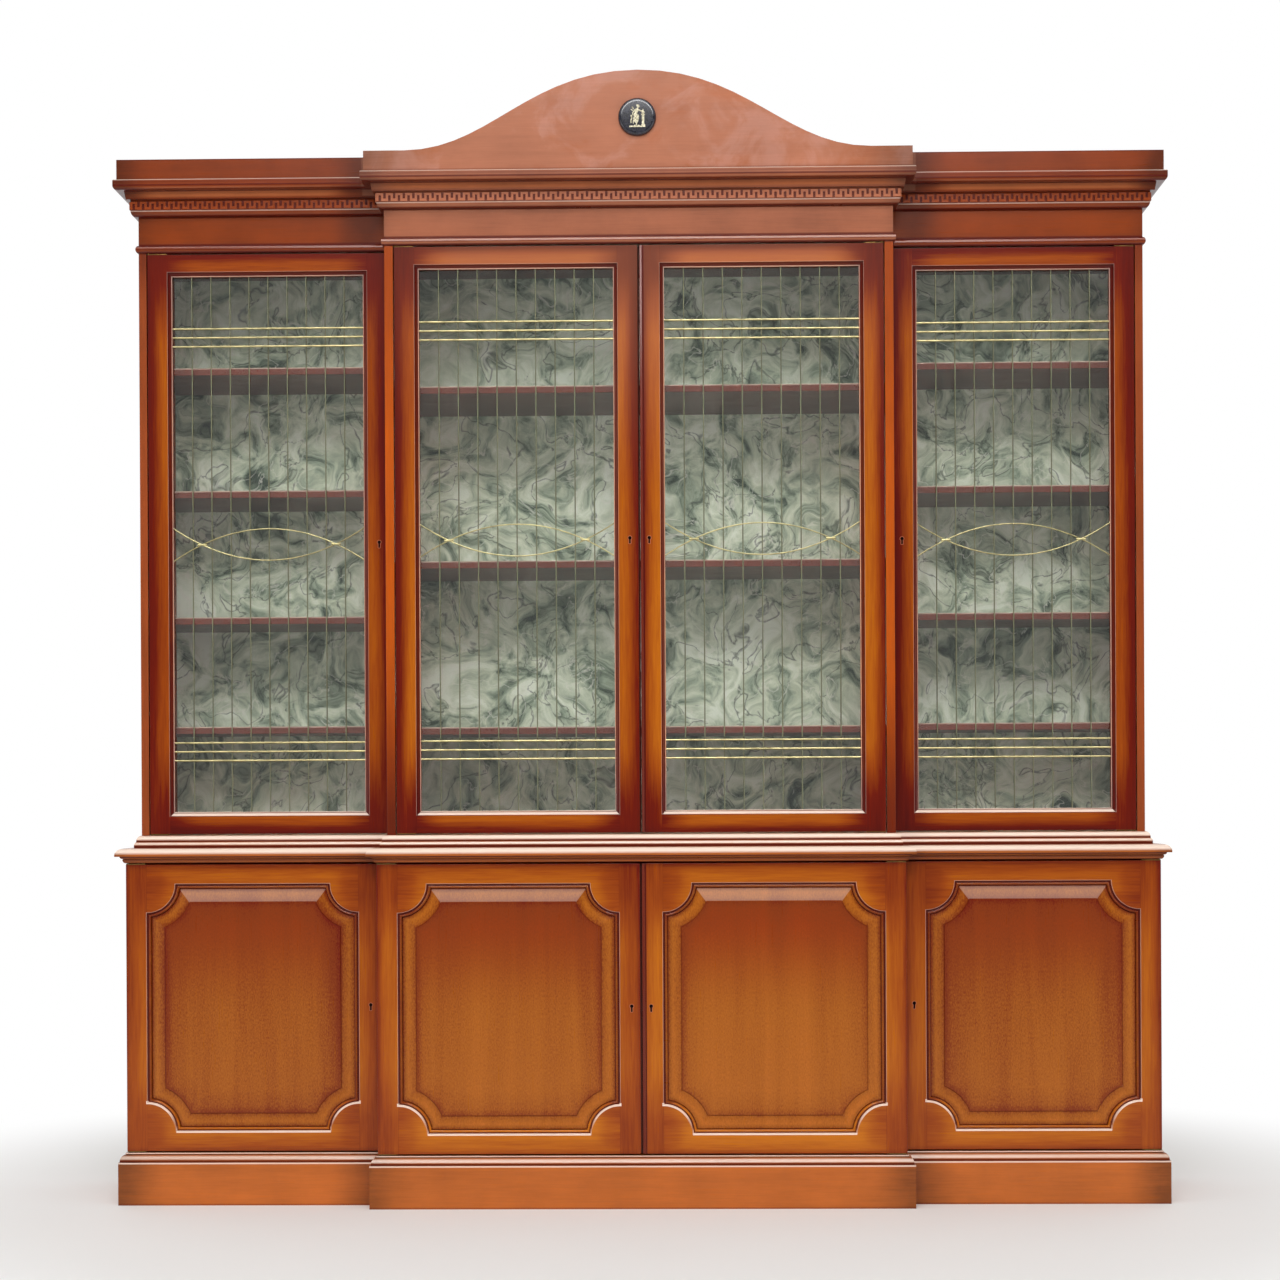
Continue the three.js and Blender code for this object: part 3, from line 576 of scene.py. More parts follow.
def lacquered(tree, tone, wood, gloss=0.3, coat=0.3):
    """Lacquered wood: satin gloss, with the pores just felt through the lacquer."""
    streaks = wood[0]
    roughness = add_node(
        tree,
        "ShaderNodeMapRange",
        {
            "Value": streaks,
            "From Min": 0.3,
            "From Max": 0.7,
            "To Min": gloss + 0.06,
            "To Max": gloss - 0.04,
        },
    )
    pores = {"Strength": 0.12, "Distance": 0.15 * MM, "Height": streaks}
    shader = add_node(
        tree,
        "ShaderNodeBsdfPrincipled",
        {
            "Base Color": tone,
            "Roughness": roughness,
            "Specular IOR Level": 0.1,
            "Coat Weight": coat,
            "Coat Roughness": 0.14,
            "Normal": add_node(tree, "ShaderNodeBump", pores),
        },
    )
    add_node(tree, "ShaderNodeOutputMaterial", {"Surface": shader})


def add_stop(stops, position, tone):
    """Add a ramp's stop, just past the one before it at the least."""
    stops.append((min(max(position, stops[-1][0] + 1e-4), 1.0), tone))


def line_stops(lines, low, high):
    """Ramp stops that are white at lines, each (level, half width, strength), over a range."""
    stops = [(0.0, grey(0.0))]
    for level, half, strength in sorted(lines):
        for offset, tone in ((-1.6, 0.0), (-0.5, strength), (0.5, strength), (1.6, 0.0)):
            add_stop(stops, (level + offset * half - low) / (high - low), grey(tone))
    return stops


def marked(tree, tone, distance, bands, low, high):
    """A tone with dark bands of painted shade and pale bands of rubbing and painted highlight, at
    distances from an edge.

    A band is (from, to, dark share, pale share), with both strengths from 0 to 1. The bands and
    the range from low to high that holds them are in millimetres.
    """
    soft = 0.3
    stops = [(0.0, grey(0.0))]
    for start, end, stain, wear_and_highlight in bands:
        for level, share in ((start, 0.0), (start + soft, 1.0), (end - soft, 1.0), (end, 0.0)):
            add_stop(stops, (level - low) / (high - low), (share * stain, share * wear_and_highlight, 0.0, 1.0))
    place = add_node(
        tree,
        "ShaderNodeMapRange",
        {"Value": distance, "From Min": low * MM, "From Max": high * MM},
    )
    strengths = add_node(tree, "ShaderNodeValToRGB", {0: place}, stops)
    shares = add_node(tree, "ShaderNodeSeparateColor", {0: strengths}).outputs
    stained = add_node(
        tree,
        "ShaderNodeMix",
        {FACTOR: shares["Red"], COLOUR_A: tone, COLOUR_B: colours().stain},
        data_type="RGBA",
    )
    return add_node(
        tree,
        "ShaderNodeMix",
        {FACTOR: shares["Green"], COLOUR_A: stained, COLOUR_B: colours().worn_and_highlit},
        data_type="RGBA",
    )


# How deep behind a face its finish goes, before the back's begins
SKIN = 0.5 * MM

# Where the painted reflection of the sky pales the wood, in metres: half the width of the crown's
# centre and what is in front of its wings, and the levels and distances from the middle between
# which the centre doors turn pale
CENTRE_HALF, CENTRE_FRONT = 0.578, -0.12
PALE_FOOT, PALE_HEAD = 1.45, 1.98
PALE_INNER, PALE_OUTER = 0.36, 0.49

# Bands across a door's mouldings and a panel's bevel, from the edge of the face inwards, in
# millimetres: (from, to, dark share, pale share). The dark share is painted shade in the quirks
# and coves, the pale share rubbing with painted highlights on arrises and fillets. A lower
# member faces up, and its pale band is a painted highlight of the light from above.
GLAZED_BANDS = ((-1.2, 0.1, 0.0, 0.2), (0.1, 6.8, 0.9, 0.0), (6.8, 9.4, 0.0, 0.3))
GLAZED_LOWER_BANDS = (
    (-1.0, 0.6, 0.75, 0.0),
    (0.6, 6.4, 0.0, 0.88),
    (6.4, 7.4, 0.7, 0.0),
    (7.4, 9.6, 0.0, 0.8),
)
BASE_BANDS = (
    (-1.4, 0.1, 0.0, 0.25),
    (0.1, 4.4, 0.97, 0.0),
    (4.4, 8.4, 0.5, 0.0),
    (8.4, 10.6, 0.8, 0.0),
)
BASE_LOWER_BANDS = ((-3.0, 1.2, 0.0, 0.85), (1.2, 4.2, 0.9, 0.0), (8.2, 10.5, 0.5, 0.0))
PANEL_BANDS = ((8.5, 10.5, 0.75, 0.0), (36.0, 39.2, 0.34, 0.0))
PANEL_HEAD_BANDS = ((8.5, 10.5, 0.6, 0.0), (11.0, 37.0, 0.0, 0.17))

# Shades of a panel from its opening's edge to 100 mm inside: bevel, field's edge, margin, middle
PANEL_SHADES = (
    (0.0, 0.1),
    (0.11, 0.4),
    (0.2, 0.68),
    (0.3, 0.54),
    (0.365, 0.42),
    (0.395, 0.3),
    (0.52, 0.45),
    (0.9, 0.56),
)


def door_wood(
    name,
    box,
    stile,
    rail,
    radius,
    bands,
    lower_bands,
    shades,
    seed,
    groove=None,
    sky_sheen=False,
    foot=0.0,
):
    """Mahogany of a door's frame, stained dark towards its outer edges and light by its opening.

    Upright grain in the stiles and level grain in the rails, with the butt joints between them.
    The shades are those of the rim, of the corners, far from the opening and beside it, and the
    width of the rim. The groove is how far from the low edge in X a dark line of painted shade
    lies beside a meeting bead, and the foot is what the shade gains at the bottom, a painted
    reflection of the floor.
    """
    rim_shade, corner_shade, far_shade, near_shade, rim = shades
    low, high = box
    middle, half = (low + high) / 2, (high - low) / 2
    material, tree, position = new_material(name)
    x, y, z = add_node(tree, "ShaderNodeSeparateXYZ", {0: position}).outputs
    across = distance_in(tree, x, middle.x, half.x)
    up = distance_in(tree, z, middle.z, half.z)
    in_stile = add_node(tree, "ShaderNodeMath", {0: across, 1: stile}, operation="LESS_THAN")
    wood = grain(tree, position, in_stile, seed)
    past_stile = add_node(tree, "ShaderNodeMath", {0: across, 1: stile}, operation="SUBTRACT")
    past_rail = add_node(tree, "ShaderNodeMath", {0: up, 1: rail}, operation="SUBTRACT")
    inside = scooped_distance(tree, past_stile, past_rail, radius)
    burst = product(tree, rising(tree, across, -3 * MM, rim), rising(tree, up, -3 * MM, rim))
    # Dark corners: far from a side or from an end the darkening is thin again
    off_side = rising(tree, across, 20 * MM, 110 * MM)
    off_end = rising(tree, up, 20 * MM, 200 * MM)
    off_corner = add_node(tree, "ShaderNodeMath", {0: off_side, 1: off_end}, operation="MAXIMUM")
    glow = rising(tree, inside, -36 * MM, -8 * MM)
    lit = add_node(
        tree, "ShaderNodeMapRange", {"Value": glow, "To Min": far_shade, "To Max": near_shade}
    )
    cornered = add_node(
        tree, "ShaderNodeMix", {FACTOR: off_corner, FLOAT_A: corner_shade, FLOAT_B: lit}
    )
    shade = add_node(tree, "ShaderNodeMix", {FACTOR: burst, FLOAT_A: rim_shade, FLOAT_B: cornered})
    if foot:
        # A painted reflection of the floor: the foot of a base door is lighter than its head
        gain = add_node(
            tree,
            "ShaderNodeMapRange",
            {"Value": z, "From Min": low.z, "From Max": middle.z, "To Min": foot, "To Max": 0.0},
        )
        shade = add_node(tree, "ShaderNodeMath", {0: shade, 1: gain}, operation="ADD")
    tone = mahogany(tree, varied(tree, shade, wood, 0.45, 0.5 if foot else 0.7))
    if sky_sheen:
        # The heads of the centre doors are painted paler and pinker, a painted reflection of the
        # sky, less so on their outer stiles
        head = add_node(
            tree,
            "ShaderNodeMapRange",
            {"Value": z, "From Min": PALE_FOOT, "From Max": PALE_HEAD, "To Max": 0.62},
            interpolation_type="SMOOTHSTEP",
        )
        off_middle = add_node(tree, "ShaderNodeMath", {0: x}, operation="ABSOLUTE")
        kept = add_node(
            tree,
            "ShaderNodeMapRange",
            {
                "Value": off_middle,
                "From Min": PALE_INNER,
                "From Max": PALE_OUTER,
                "To Min": 1.0,
                "To Max": 0.25,
            },
            interpolation_type="SMOOTHSTEP",
        )
        pale = toned(tree, shade, colours().sky_sheen)
        tone = add_node(
            tree,
            "ShaderNodeMix",
            {FACTOR: product(tree, head, kept), COLOUR_A: tone, COLOUR_B: pale},
            data_type="RGBA",
        )
    # A hairline where the rails butt against the stiles, and beside a meeting bead a dark line of
    # painted shade for its quirk
    joint = add_node(
        tree, "ShaderNodeMath", {0: across, 1: stile, 2: 0.3 * MM}, operation="COMPARE"
    )
    marks = product(tree, joint, 0.5)
    if groove:
        line = add_node(
            tree, "ShaderNodeMath", {0: x, 1: low.x + groove, 2: 1.4 * MM}, operation="COMPARE"
        )
        marks = add_node(tree, "ShaderNodeMath", {0: marks, 1: line}, operation="MAXIMUM")
    lined = add_node(
        tree,
        "ShaderNodeMix",
        {FACTOR: marks, COLOUR_A: tone, COLOUR_B: colours().stain},
        data_type="RGBA",
    )
    all_round = marked(tree, lined, inside, bands, -6, 14)
    below = marked(tree, lined, inside, lower_bands, -6, 14)
    # The lower bands are on what faces up: the bottom rail's moulding and that of its scoops.
    # Their pale bands are painted highlights of the light from above
    if radius:
        straight = add_node(
            tree, "ShaderNodeMath", {0: past_stile, 1: radius}, operation="GREATER_THAN"
        )
        past_foot = rising(tree, past_rail, 8 * MM, 0.8 * radius)
        in_scoop = add_node(
            tree, "ShaderNodeMath", {0: past_rail, 1: 1.06 * radius}, operation="LESS_THAN"
        )
        upward = add_node(
            tree,
            "ShaderNodeMath",
            {0: straight, 1: product(tree, past_foot, in_scoop)},
            operation="MAXIMUM",
        )
    else:
        upward = add_node(
            tree, "ShaderNodeMath", {0: past_rail, 1: past_stile}, operation="LESS_THAN"
        )
    lower = add_node(tree, "ShaderNodeMath", {0: z, 1: middle.z}, operation="LESS_THAN")
    final = add_node(
        tree,
        "ShaderNodeMix",
        {FACTOR: product(tree, lower, upward), COLOUR_A: all_round, COLOUR_B: below},
        data_type="RGBA",
    )
    lacquered(tree, backed(tree, final, y, high.y, wood), wood)
    return material


def panel_wood(name, box, overlap, radius, seed, lift):
    """Mahogany veneer of a fielded panel: a tan bevel, and a field darker round its margin.

    The overlap is the width that runs into the door's groove, and the radius that of the scoops.
    """
    low, high = box
    middle, half = (low + high) / 2, (high - low) / 2
    material, tree, position = new_material(name)
    x, y, z = add_node(tree, "ShaderNodeSeparateXYZ", {0: position}).outputs
    across = distance_in(tree, x, middle.x, half.x - overlap)
    up = distance_in(tree, z, middle.z, half.z - overlap)
    inside = scooped_distance(tree, across, up, radius)
    wood = grain(tree, position, 1.0, seed)
    # Open pores, short flecks about 1 mm wide, come out dark
    squeezed = add_node(
        tree, "ShaderNodeVectorMath", {0: position, 1: (1.0, 1.0, 0.45)}, operation="MULTIPLY"
    )
    pores = add_node(
        tree,
        "ShaderNodeTexNoise",
        {"Vector": squeezed, "Scale": 420.0, "Detail": 3.0, "Roughness": 0.7},
    )
    place = add_node(tree, "ShaderNodeMapRange", {"Value": inside, "From Max": 100 * MM})
    shades = [(at, grey(shade)) for at, shade in PANEL_SHADES]
    burst = add_node(tree, "ShaderNodeValToRGB", {0: place}, shades)
    # The foot of a panel is lighter and browner than its head: a painted reflection of the floor
    fall = add_node(
        tree,
        "ShaderNodeMapRange",
        {
            "Value": z,
            "From Min": low.z,
            "From Max": high.z,
            "To Min": lift + 0.01,
            "To Max": lift - 0.17,
        },
    )
    lifted = add_node(tree, "ShaderNodeMath", {0: burst, 1: fall}, operation="ADD")
    flecked = add_node(
        tree,
        "ShaderNodeMath",
        {0: about_zero(tree, pores), 1: 0.8, 2: lifted},
        operation="MULTIPLY_ADD",
    )
    shade = varied(tree, flecked, wood, 0.15, 0.42)
    c = colours()
    fields = []
    for field in (c.field, c.field_head):
        light = (1.5 * field[0], 1.5 * field[1], 2.2 * field[2], 1.0)
        stops = ((0.0, c.edge), (0.22, c.field_dark), (0.5, field), (0.9, light))
        fields.append(add_node(tree, "ShaderNodeValToRGB", {0: shade}, stops))
    brown, red = fields
    # Its head is painted darker and redder: painted shade, away from the floor's painted
    # reflection
    towards_head = rising(tree, z, middle.z - 20 * MM, high.z - 80 * MM)
    on_field = rising(tree, inside, 34 * MM, 40 * MM)
    tone = add_node(
        tree,
        "ShaderNodeMix",
        {FACTOR: product(tree, towards_head, on_field), COLOUR_A: brown, COLOUR_B: red},
        data_type="RGBA",
    )
    plain = marked(tree, tone, inside, PANEL_BANDS, 0, 60)
    # The head's bevel faces up and carries a painted highlight of the light from above, between
    # mitres that run in from its corners
    pale = marked(tree, tone, inside, PANEL_HEAD_BANDS, 0, 60)
    mitre = add_node(
        tree, "ShaderNodeMath", {0: up, 1: -0.75, 2: across}, operation="MULTIPLY_ADD"
    )
    in_mitres = rising(tree, mitre, radius - 0.5 * MM, radius + 0.5 * MM)
    upper = add_node(tree, "ShaderNodeMath", {0: z, 1: middle.z}, operation="GREATER_THAN")
    final = add_node(
        tree,
        "ShaderNodeMix",
        {FACTOR: product(tree, upper, in_mitres), COLOUR_A: plain, COLOUR_B: pale},
        data_type="RGBA",
    )
    lacquered(tree, backed(tree, final, y, high.y, wood), wood)
    return material


def moulded_wood(
    name,
    tone_name,
    seed,
    vertical=0.0,
    lines=(),
    rubs_and_highlights=(),
    span=(0, 1000),
    gloss=0.3,
    coat=0.4,
    lift=0.0,
    blotch=0.0,
    streak=0.45,
    burst=None,
    patches=(),
    sky_sheen=False,
    glowing=(),
    fades=(),
    edges=(),
):
    """Mahogany of the case in one tone. All levels and widths here are in millimetres.

    Lines and rubs are each (level, half width, strength) in a span of levels: the lines are
    painted shade in the quirks and under projecting members, the rubs pale rubbing with painted
    highlights on noses, fillets and arrises. A burst is the half widths of the centre (or None)
    and of the whole, and the width and depth of the darkening beside their ends, which is painted
    shade beside the breaks, where wing and centre meet in a corner. Patches name colours that show
    in clouds. With the sky sheen, the centre section is painted paler and pinker than the wings, a
    painted reflection of the sky. A glowing band (from, to, share on the centre, colour) is
    painted light, lighter between the ends of a burst, and needs one. Each of the fades (from, to,
    share, colour) grows from one level to another; on the uprights they are painted shade. At the
    edges, the levels of the tops of boards, the front's arris has a painted highlight.
    """
    material, tree, position = new_material(name)
    x, y, z = add_node(tree, "ShaderNodeSeparateXYZ", {0: position}).outputs
    side, _, upward = add_node(
        tree, "ShaderNodeSeparateXYZ", {0: position.node.outputs["Normal"]}
    ).outputs
    wood = grain(tree, position, vertical, seed)
    shade = varied(tree, 0.5 + lift, wood, streak, streak + 0.05)
    if burst:
        centre_half, outer_half, width, depth = burst
        from_end = distance_in(tree, x, 0.0, outer_half * MM)
        if centre_half:
            in_centre = distance_in(tree, x, 0.0, centre_half * MM)
            from_break = add_node(tree, "ShaderNodeMath", {0: in_centre}, operation="ABSOLUTE")
            from_end = add_node(
                tree, "ShaderNodeMath", {0: from_break, 1: from_end}, operation="MINIMUM"
            )
        # Only the faces to the front are darkened so, and the returns are plain
        sideways = add_node(tree, "ShaderNodeMath", {0: side}, operation="ABSOLUTE")
        facing = add_node(tree, "ShaderNodeMath", {0: sideways, 1: 0.5}, operation="LESS_THAN")
        # Beside the breaks, where wing and centre meet in a corner, the darkening is painted shade
        dark = product(tree, rising(tree, from_end, width * MM, 0.0), facing, depth)
        shade = add_node(tree, "ShaderNodeMath", {0: shade, 1: dark}, operation="SUBTRACT")
    if blotch:
        # Clouds about 150 mm wide where the tone is uneven
        clouds = add_node(
            tree,
            "ShaderNodeTexNoise",
            {"Vector": position, "Scale": 7.0, "Detail": 6.0, "Roughness": 0.6},
        )
        shade = add_node(
            tree,
            "ShaderNodeMath",
            {0: about_zero(tree, clouds), 1: blotch, 2: shade},
            operation="MULTIPLY_ADD",
        )

    def shaded(colour_name):
        return toned(tree, shade, getattr(colours(), colour_name))

    tone = shaded(tone_name)
    for i, patch in enumerate(patches):
        moved = add_node(
            tree,
            "ShaderNodeVectorMath",
            {0: position, 1: (3.1 * i, 1.7, 5.3 * i)},
            operation="ADD",
        )
        cloud = add_node(
            tree,
            "ShaderNodeTexNoise",
            {"Vector": moved, "Scale": 9.0, "Detail": 6.0, "Roughness": 0.6, "Distortion": 0.6},
        )
        share = product(tree, rising(tree, cloud, 0.48, 0.64), 0.45)
        tone = add_node(
            tree,
            "ShaderNodeMix",
            {FACTOR: share, COLOUR_A: tone, COLOUR_B: shaded(patch)},
            data_type="RGBA",
        )
    on_centre = 0.0
    if sky_sheen:
        # The centre of the crown, which stands forward, gets the painted reflection of the sky
        within = rising(tree, distance_in(tree, x, 0.0, CENTRE_HALF), 0.0, 4 * MM)
        forward = add_node(tree, "ShaderNodeMath", {0: y, 1: CENTRE_FRONT}, operation="LESS_THAN")
        on_centre = product(tree, within, forward)
        tone = add_node(
            tree,
            "ShaderNodeMix",
            {FACTOR: on_centre, COLOUR_A: tone, COLOUR_B: shaded("sky_sheen")},
            data_type="RGBA",
        )
    # Glowing bands are painted light, on the wings' frieze and on the cornice's fascia
    for low, high, centre_share, glow in glowing:
        middle, half = (low + high) / 2 * MM, (high - low) / 2 * MM
        band = rising(tree, distance_in(tree, z, middle, half), 0.0, min(10 * MM, 0.6 * half))
        clear = rising(tree, from_end, 15 * MM, 90 * MM)
        share = add_node(
            tree, "ShaderNodeMapRange", {"Value": on_centre, "To Min": 1.0, "To Max": centre_share}
        )
        tone = add_node(
            tree,
            "ShaderNodeMix",
            {
                FACTOR: product(tree, clear, band, facing, share),
                COLOUR_A: tone,
                COLOUR_B: shaded(glow),
            },
            data_type="RGBA",
        )
    for start, end, share, fade in fades:
        grown = product(tree, rising(tree, z, start * MM, end * MM), share)
        tone = add_node(
            tree,
            "ShaderNodeMix",
            {FACTOR: grown, COLOUR_A: tone, COLOUR_B: shaded(fade)},
            data_type="RGBA",
        )
    # A painted highlight on the front arris of each board's top
    for edge in edges:
        near_edge = add_node(
            tree, "ShaderNodeMath", {0: z, 1: (edge - 1.3) * MM, 2: 1.2 * MM}, operation="COMPARE"
        )
        tone = add_node(
            tree,
            "ShaderNodeMix",
            {FACTOR: product(tree, near_edge, 0.3), COLOUR_A: tone, COLOUR_B: colours().worn_and_highlit},
            data_type="RGBA",
        )
    # Dark lines of painted shade, and pale marks of rubbing with painted highlights
    for marks, mark_tone in ((lines, colours().stain), (rubs_and_highlights, colours().worn_and_highlit)):
        if not marks:
            continue
        level = add_node(
            tree,
            "ShaderNodeMapRange",
            {"Value": z, "From Min": span[0] * MM, "From Max": span[1] * MM},
        )
        strengths = add_node(tree, "ShaderNodeValToRGB", {0: level}, line_stops(marks, *span))
        # The flat top of a board has no lines
        moulded = add_node(tree, "ShaderNodeMath", {0: upward, 1: 0.95}, operation="LESS_THAN")
        tone = add_node(
            tree,
            "ShaderNodeMix",
            {FACTOR: product(tree, strengths, moulded), COLOUR_A: tone, COLOUR_B: mark_tone},
            data_type="RGBA",
        )
    lacquered(tree, tone, wood, gloss, coat)
    return material


def marbled_paper(tree, position):
    """The tone of stone-marbled paper: drifting bands of ivory, sage and slate, finely veined."""
    c = colours()
    warp = add_node(
        tree, "ShaderNodeTexNoise", {"Vector": position, "Scale": 4.5, "Detail": 3.0}
    ).outputs["Color"]
    bent = add_node(
        tree,
        "ShaderNodeVectorMath",
        {0: warp, 1: (0.3, 0.3, 0.22), 2: position},
        operation="MULTIPLY_ADD",
    )
    # Bands are about 60 to 150 mm long
    bands = add_node(
        tree,
        "ShaderNodeTexNoise",
        {"Vector": bent, "Scale": 10.0, "Detail": 7.0, "Roughness": 0.62, "Distortion": 1.4},
    )
    tone = add_node(
        tree,
        "ShaderNodeValToRGB",
        {0: bands},
        (
            (0.33, c.paper_dark),
            (0.42, c.paper_sage),
            (0.49, c.paper_middle),
            (0.56, c.paper_pale),
            (0.64, c.paper_light),
        ),
    )
    # Veins run where slow fields pass their middle value, dark in one field and ivory in another
    for seed, scale, width, strength, vein in (
        (3.0, 7.0, 0.014, 0.75, c.vein_dark),
        (9.0, 9.0, 0.01, 0.7, c.vein_pale),
    ):
        moved = add_node(
            tree, "ShaderNodeVectorMath", {0: bent, 1: (seed, seed, seed)}, operation="ADD"
        )
        slow = add_node(
            tree,
            "ShaderNodeTexNoise",
            {"Vector": moved, "Scale": scale, "Detail": 4.0, "Distortion": 1.0},
        )
        near = add_node(
            tree,
            "ShaderNodeMapRange",
            {"Value": distance_in(tree, slow, 0.5, width), "From Max": width, "To Max": strength},
        )
        tone = add_node(
            tree, "ShaderNodeMix", {FACTOR: near, COLOUR_A: tone, COLOUR_B: vein}, data_type="RGBA"
        )
    return tone


def plywood_tone(tree, position, seed):
    """Plywood, rotary cut, with a broad pale figure."""
    shade = varied(tree, 0.5, grain(tree, position, 1.0, seed), 0.4, 0.6)
    board = colours().board
    return add_node(
        tree,
        "ShaderNodeValToRGB",
        {0: shade},
        ((0.1, scaled(board, 0.6)), (0.9, scaled(board, 1.35))),
    )


def back_material():
    """Plywood: bare behind, and faced with marbled paper in front."""
    material, tree, position = new_material("plywood faced with marbled paper")
    y = add_node(tree, "ShaderNodeSeparateXYZ", {0: position}).outputs["Y"]
    behind = add_node(
        tree,
        "ShaderNodeMath",
        {0: y, 1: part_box("upper_back")[0].y + SKIN},
        operation="GREATER_THAN",
    )
    tone = add_node(
        tree,
        "ShaderNodeMix",
        {
            FACTOR: behind,
            COLOUR_A: marbled_paper(tree, position),
            COLOUR_B: plywood_tone(tree, position, 3.1),
        },
        data_type="RGBA",
    )
    shader = add_node(
        tree,
        "ShaderNodeBsdfPrincipled",
        {"Base Color": tone, "Roughness": 0.7, "Specular IOR Level": 0.25},
    )
    add_node(tree, "ShaderNodeOutputMaterial", {"Surface": shader})
    return material


def board_material():
    """Bare plywood with a dry matt surface."""
    material, tree, position = new_material("plywood, bare")
    tone = plywood_tone(tree, position, 7.7)
    shader = add_node(
        tree,
        "ShaderNodeBsdfPrincipled",
        {"Base Color": tone, "Roughness": 0.75, "Specular IOR Level": 0.2},
    )
    add_node(tree, "ShaderNodeOutputMaterial", {"Surface": shader})
    return material


def glass_material():
    """Drawn window glass: clear, faintly green, with a slow ripple in its reflections."""
    material, tree, position = new_material("window glass, drawn")
    waves = add_node(tree, "ShaderNodeTexNoise", {"Vector": position, "Scale": 5.0, "Detail": 1.0})
    ripple = {"Strength": 0.08, "Distance": 1 * MM, "Height": waves}
    glass = add_node(
        tree,
        "ShaderNodeBsdfPrincipled",
        {
            "Base Color": colours().glass,
            "Roughness": 0.02,
            "IOR": 1.5,
            "Transmission Weight": 1.0,
            "Normal": add_node(tree, "ShaderNodeBump", ripple),
        },
    )
    clear = add_node(tree, "ShaderNodeBsdfTransparent", {"Color": colours().glass_shadow})
    shadow = add_node(tree, "ShaderNodeLightPath").outputs["Is Shadow Ray"]
    shader = add_node(tree, "ShaderNodeMixShader", {0: shadow, 1: glass, 2: clear})
    add_node(tree, "ShaderNodeOutputMaterial", {"Surface": shader})
    return material


def brass_material(name, tone, roughness, seed, dull=None):
    """Lacquered brass, drawn and handled: bright where rubbed and browner where it has aged.

    Where a dull tone is given, the piece's own mark tells how bright each rod is.
    """
    material, tree, position = new_material(name)
    moved = add_node(
        tree, "ShaderNodeVectorMath", {0: position, 1: (seed, seed, seed)}, operation="ADD"
    )
    age = add_node(tree, "ShaderNodeTexNoise", {"Vector": moved, "Scale": 60.0, "Detail": 4.0})
    aged = add_node(tree, "ShaderNodeValToRGB", {0: age}, ((0.3, scaled(tone, 0.6)), (0.55, tone)))
    if dull is not None:
        bright = add_node(tree, "ShaderNodeAttribute", attribute_name="tone").outputs["Fac"]
        aged = add_node(
            tree,
            "ShaderNodeMix",
            {FACTOR: bright, COLOUR_A: dull, COLOUR_B: aged},
            data_type="RGBA",
        )
    rough = add_node(
        tree,
        "ShaderNodeMapRange",
        {
            "Value": age,
            "From Min": 0.3,
            "From Max": 0.7,
            "To Min": roughness + 0.12,
            "To Max": roughness,
        },
    )
    shader = add_node(
        tree, "ShaderNodeBsdfPrincipled", {"Base Color": aged, "Roughness": rough, "Metallic": 1.0}
    )
    add_node(tree, "ShaderNodeOutputMaterial", {"Surface": shader})
    return material


def keyhole_material():
    """A rubbed wooden rim round a hole, whose shallow floor is painted black: painted shade for
    depth.
    """
    material, tree, position = new_material("mahogany, rubbed, keyhole")
    shade = varied(tree, 0.5, grain(tree, position, 1.0, 51.0), 0.4, 0.3)
    dark = add_node(tree, "ShaderNodeAttribute", attribute_name="tone").outputs["Fac"]
    tone = add_node(
        tree,
        "ShaderNodeMix",
        {FACTOR: dark, COLOUR_A: toned(tree, shade, colours().rim), COLOUR_B: colours().hole},
        data_type="RGBA",
    )
    shader = add_node(
        tree,
        "ShaderNodeBsdfPrincipled",
        {"Base Color": tone, "Roughness": 0.8, "Specular IOR Level": 0.05},
    )
    add_node(tree, "ShaderNodeOutputMaterial", {"Surface": shader})
    return material


def glazed_black_material():
    """Black glazed ceramic: deep, with a wet gloss and a faint mottle."""
    material, tree, position = new_material("ceramic, black glazed")
    black = colours().black
    mottle = add_node(
        tree, "ShaderNodeTexNoise", {"Vector": position, "Scale": 180.0, "Detail": 3.0}
    )
    tone = add_node(
        tree,
        "ShaderNodeValToRGB",
        {0: mottle},
        ((0.35, scaled(black, 0.7)), (0.7, scaled(black, 2.2))),
    )
    shader = add_node(
        tree,
        "ShaderNodeBsdfPrincipled",
        {"Base Color": tone, "Roughness": 0.12, "Coat Weight": 0.4},
    )
    add_node(tree, "ShaderNodeOutputMaterial", {"Surface": shader})
    return material


def gilt_material():
    """Gilding rubbed to ivory in random flecks, and dull between them."""
    material, tree, position = new_material("gilding, rubbed")
    rubbed = add_node(
        tree, "ShaderNodeTexNoise", {"Vector": position, "Scale": 300.0, "Detail": 4.0}
    )
    tone = add_node(
        tree,
        "ShaderNodeValToRGB",
        {0: rubbed},
        ((0.3, scaled(colours().gilt, 0.5)), (0.6, colours().gilt_rubbed)),
    )
    shader = add_node(
        tree, "ShaderNodeBsdfPrincipled", {"Base Color": tone, "Roughness": 0.5, "Metallic": 0.15}
    )
    add_node(tree, "ShaderNodeOutputMaterial", {"Surface": shader})
    return material


# Operators

# Name, place, what it points at, width and height, watts and spread in degrees
SOFTBOXES = (
    ("softbox_left", (-4.6, -4.0, 1.6), (0, 0, 1.1), (2.0, 2.4), 42, 180),
    ("softbox_right", (4.8, -4.0, 1.6), (0, 0, 1.1), (2.0, 2.4), 34, 180),
    ("softbox_overhead", (0.0, -5.0, 8.0), (0, -0.2, 1.0), (6.0, 1.0), 46, 80),
    ("softbox_front", (0.0, -7.5, 5.2), (0, -0.2, 1.2), (4.0, 1.6), 50, 80),
)

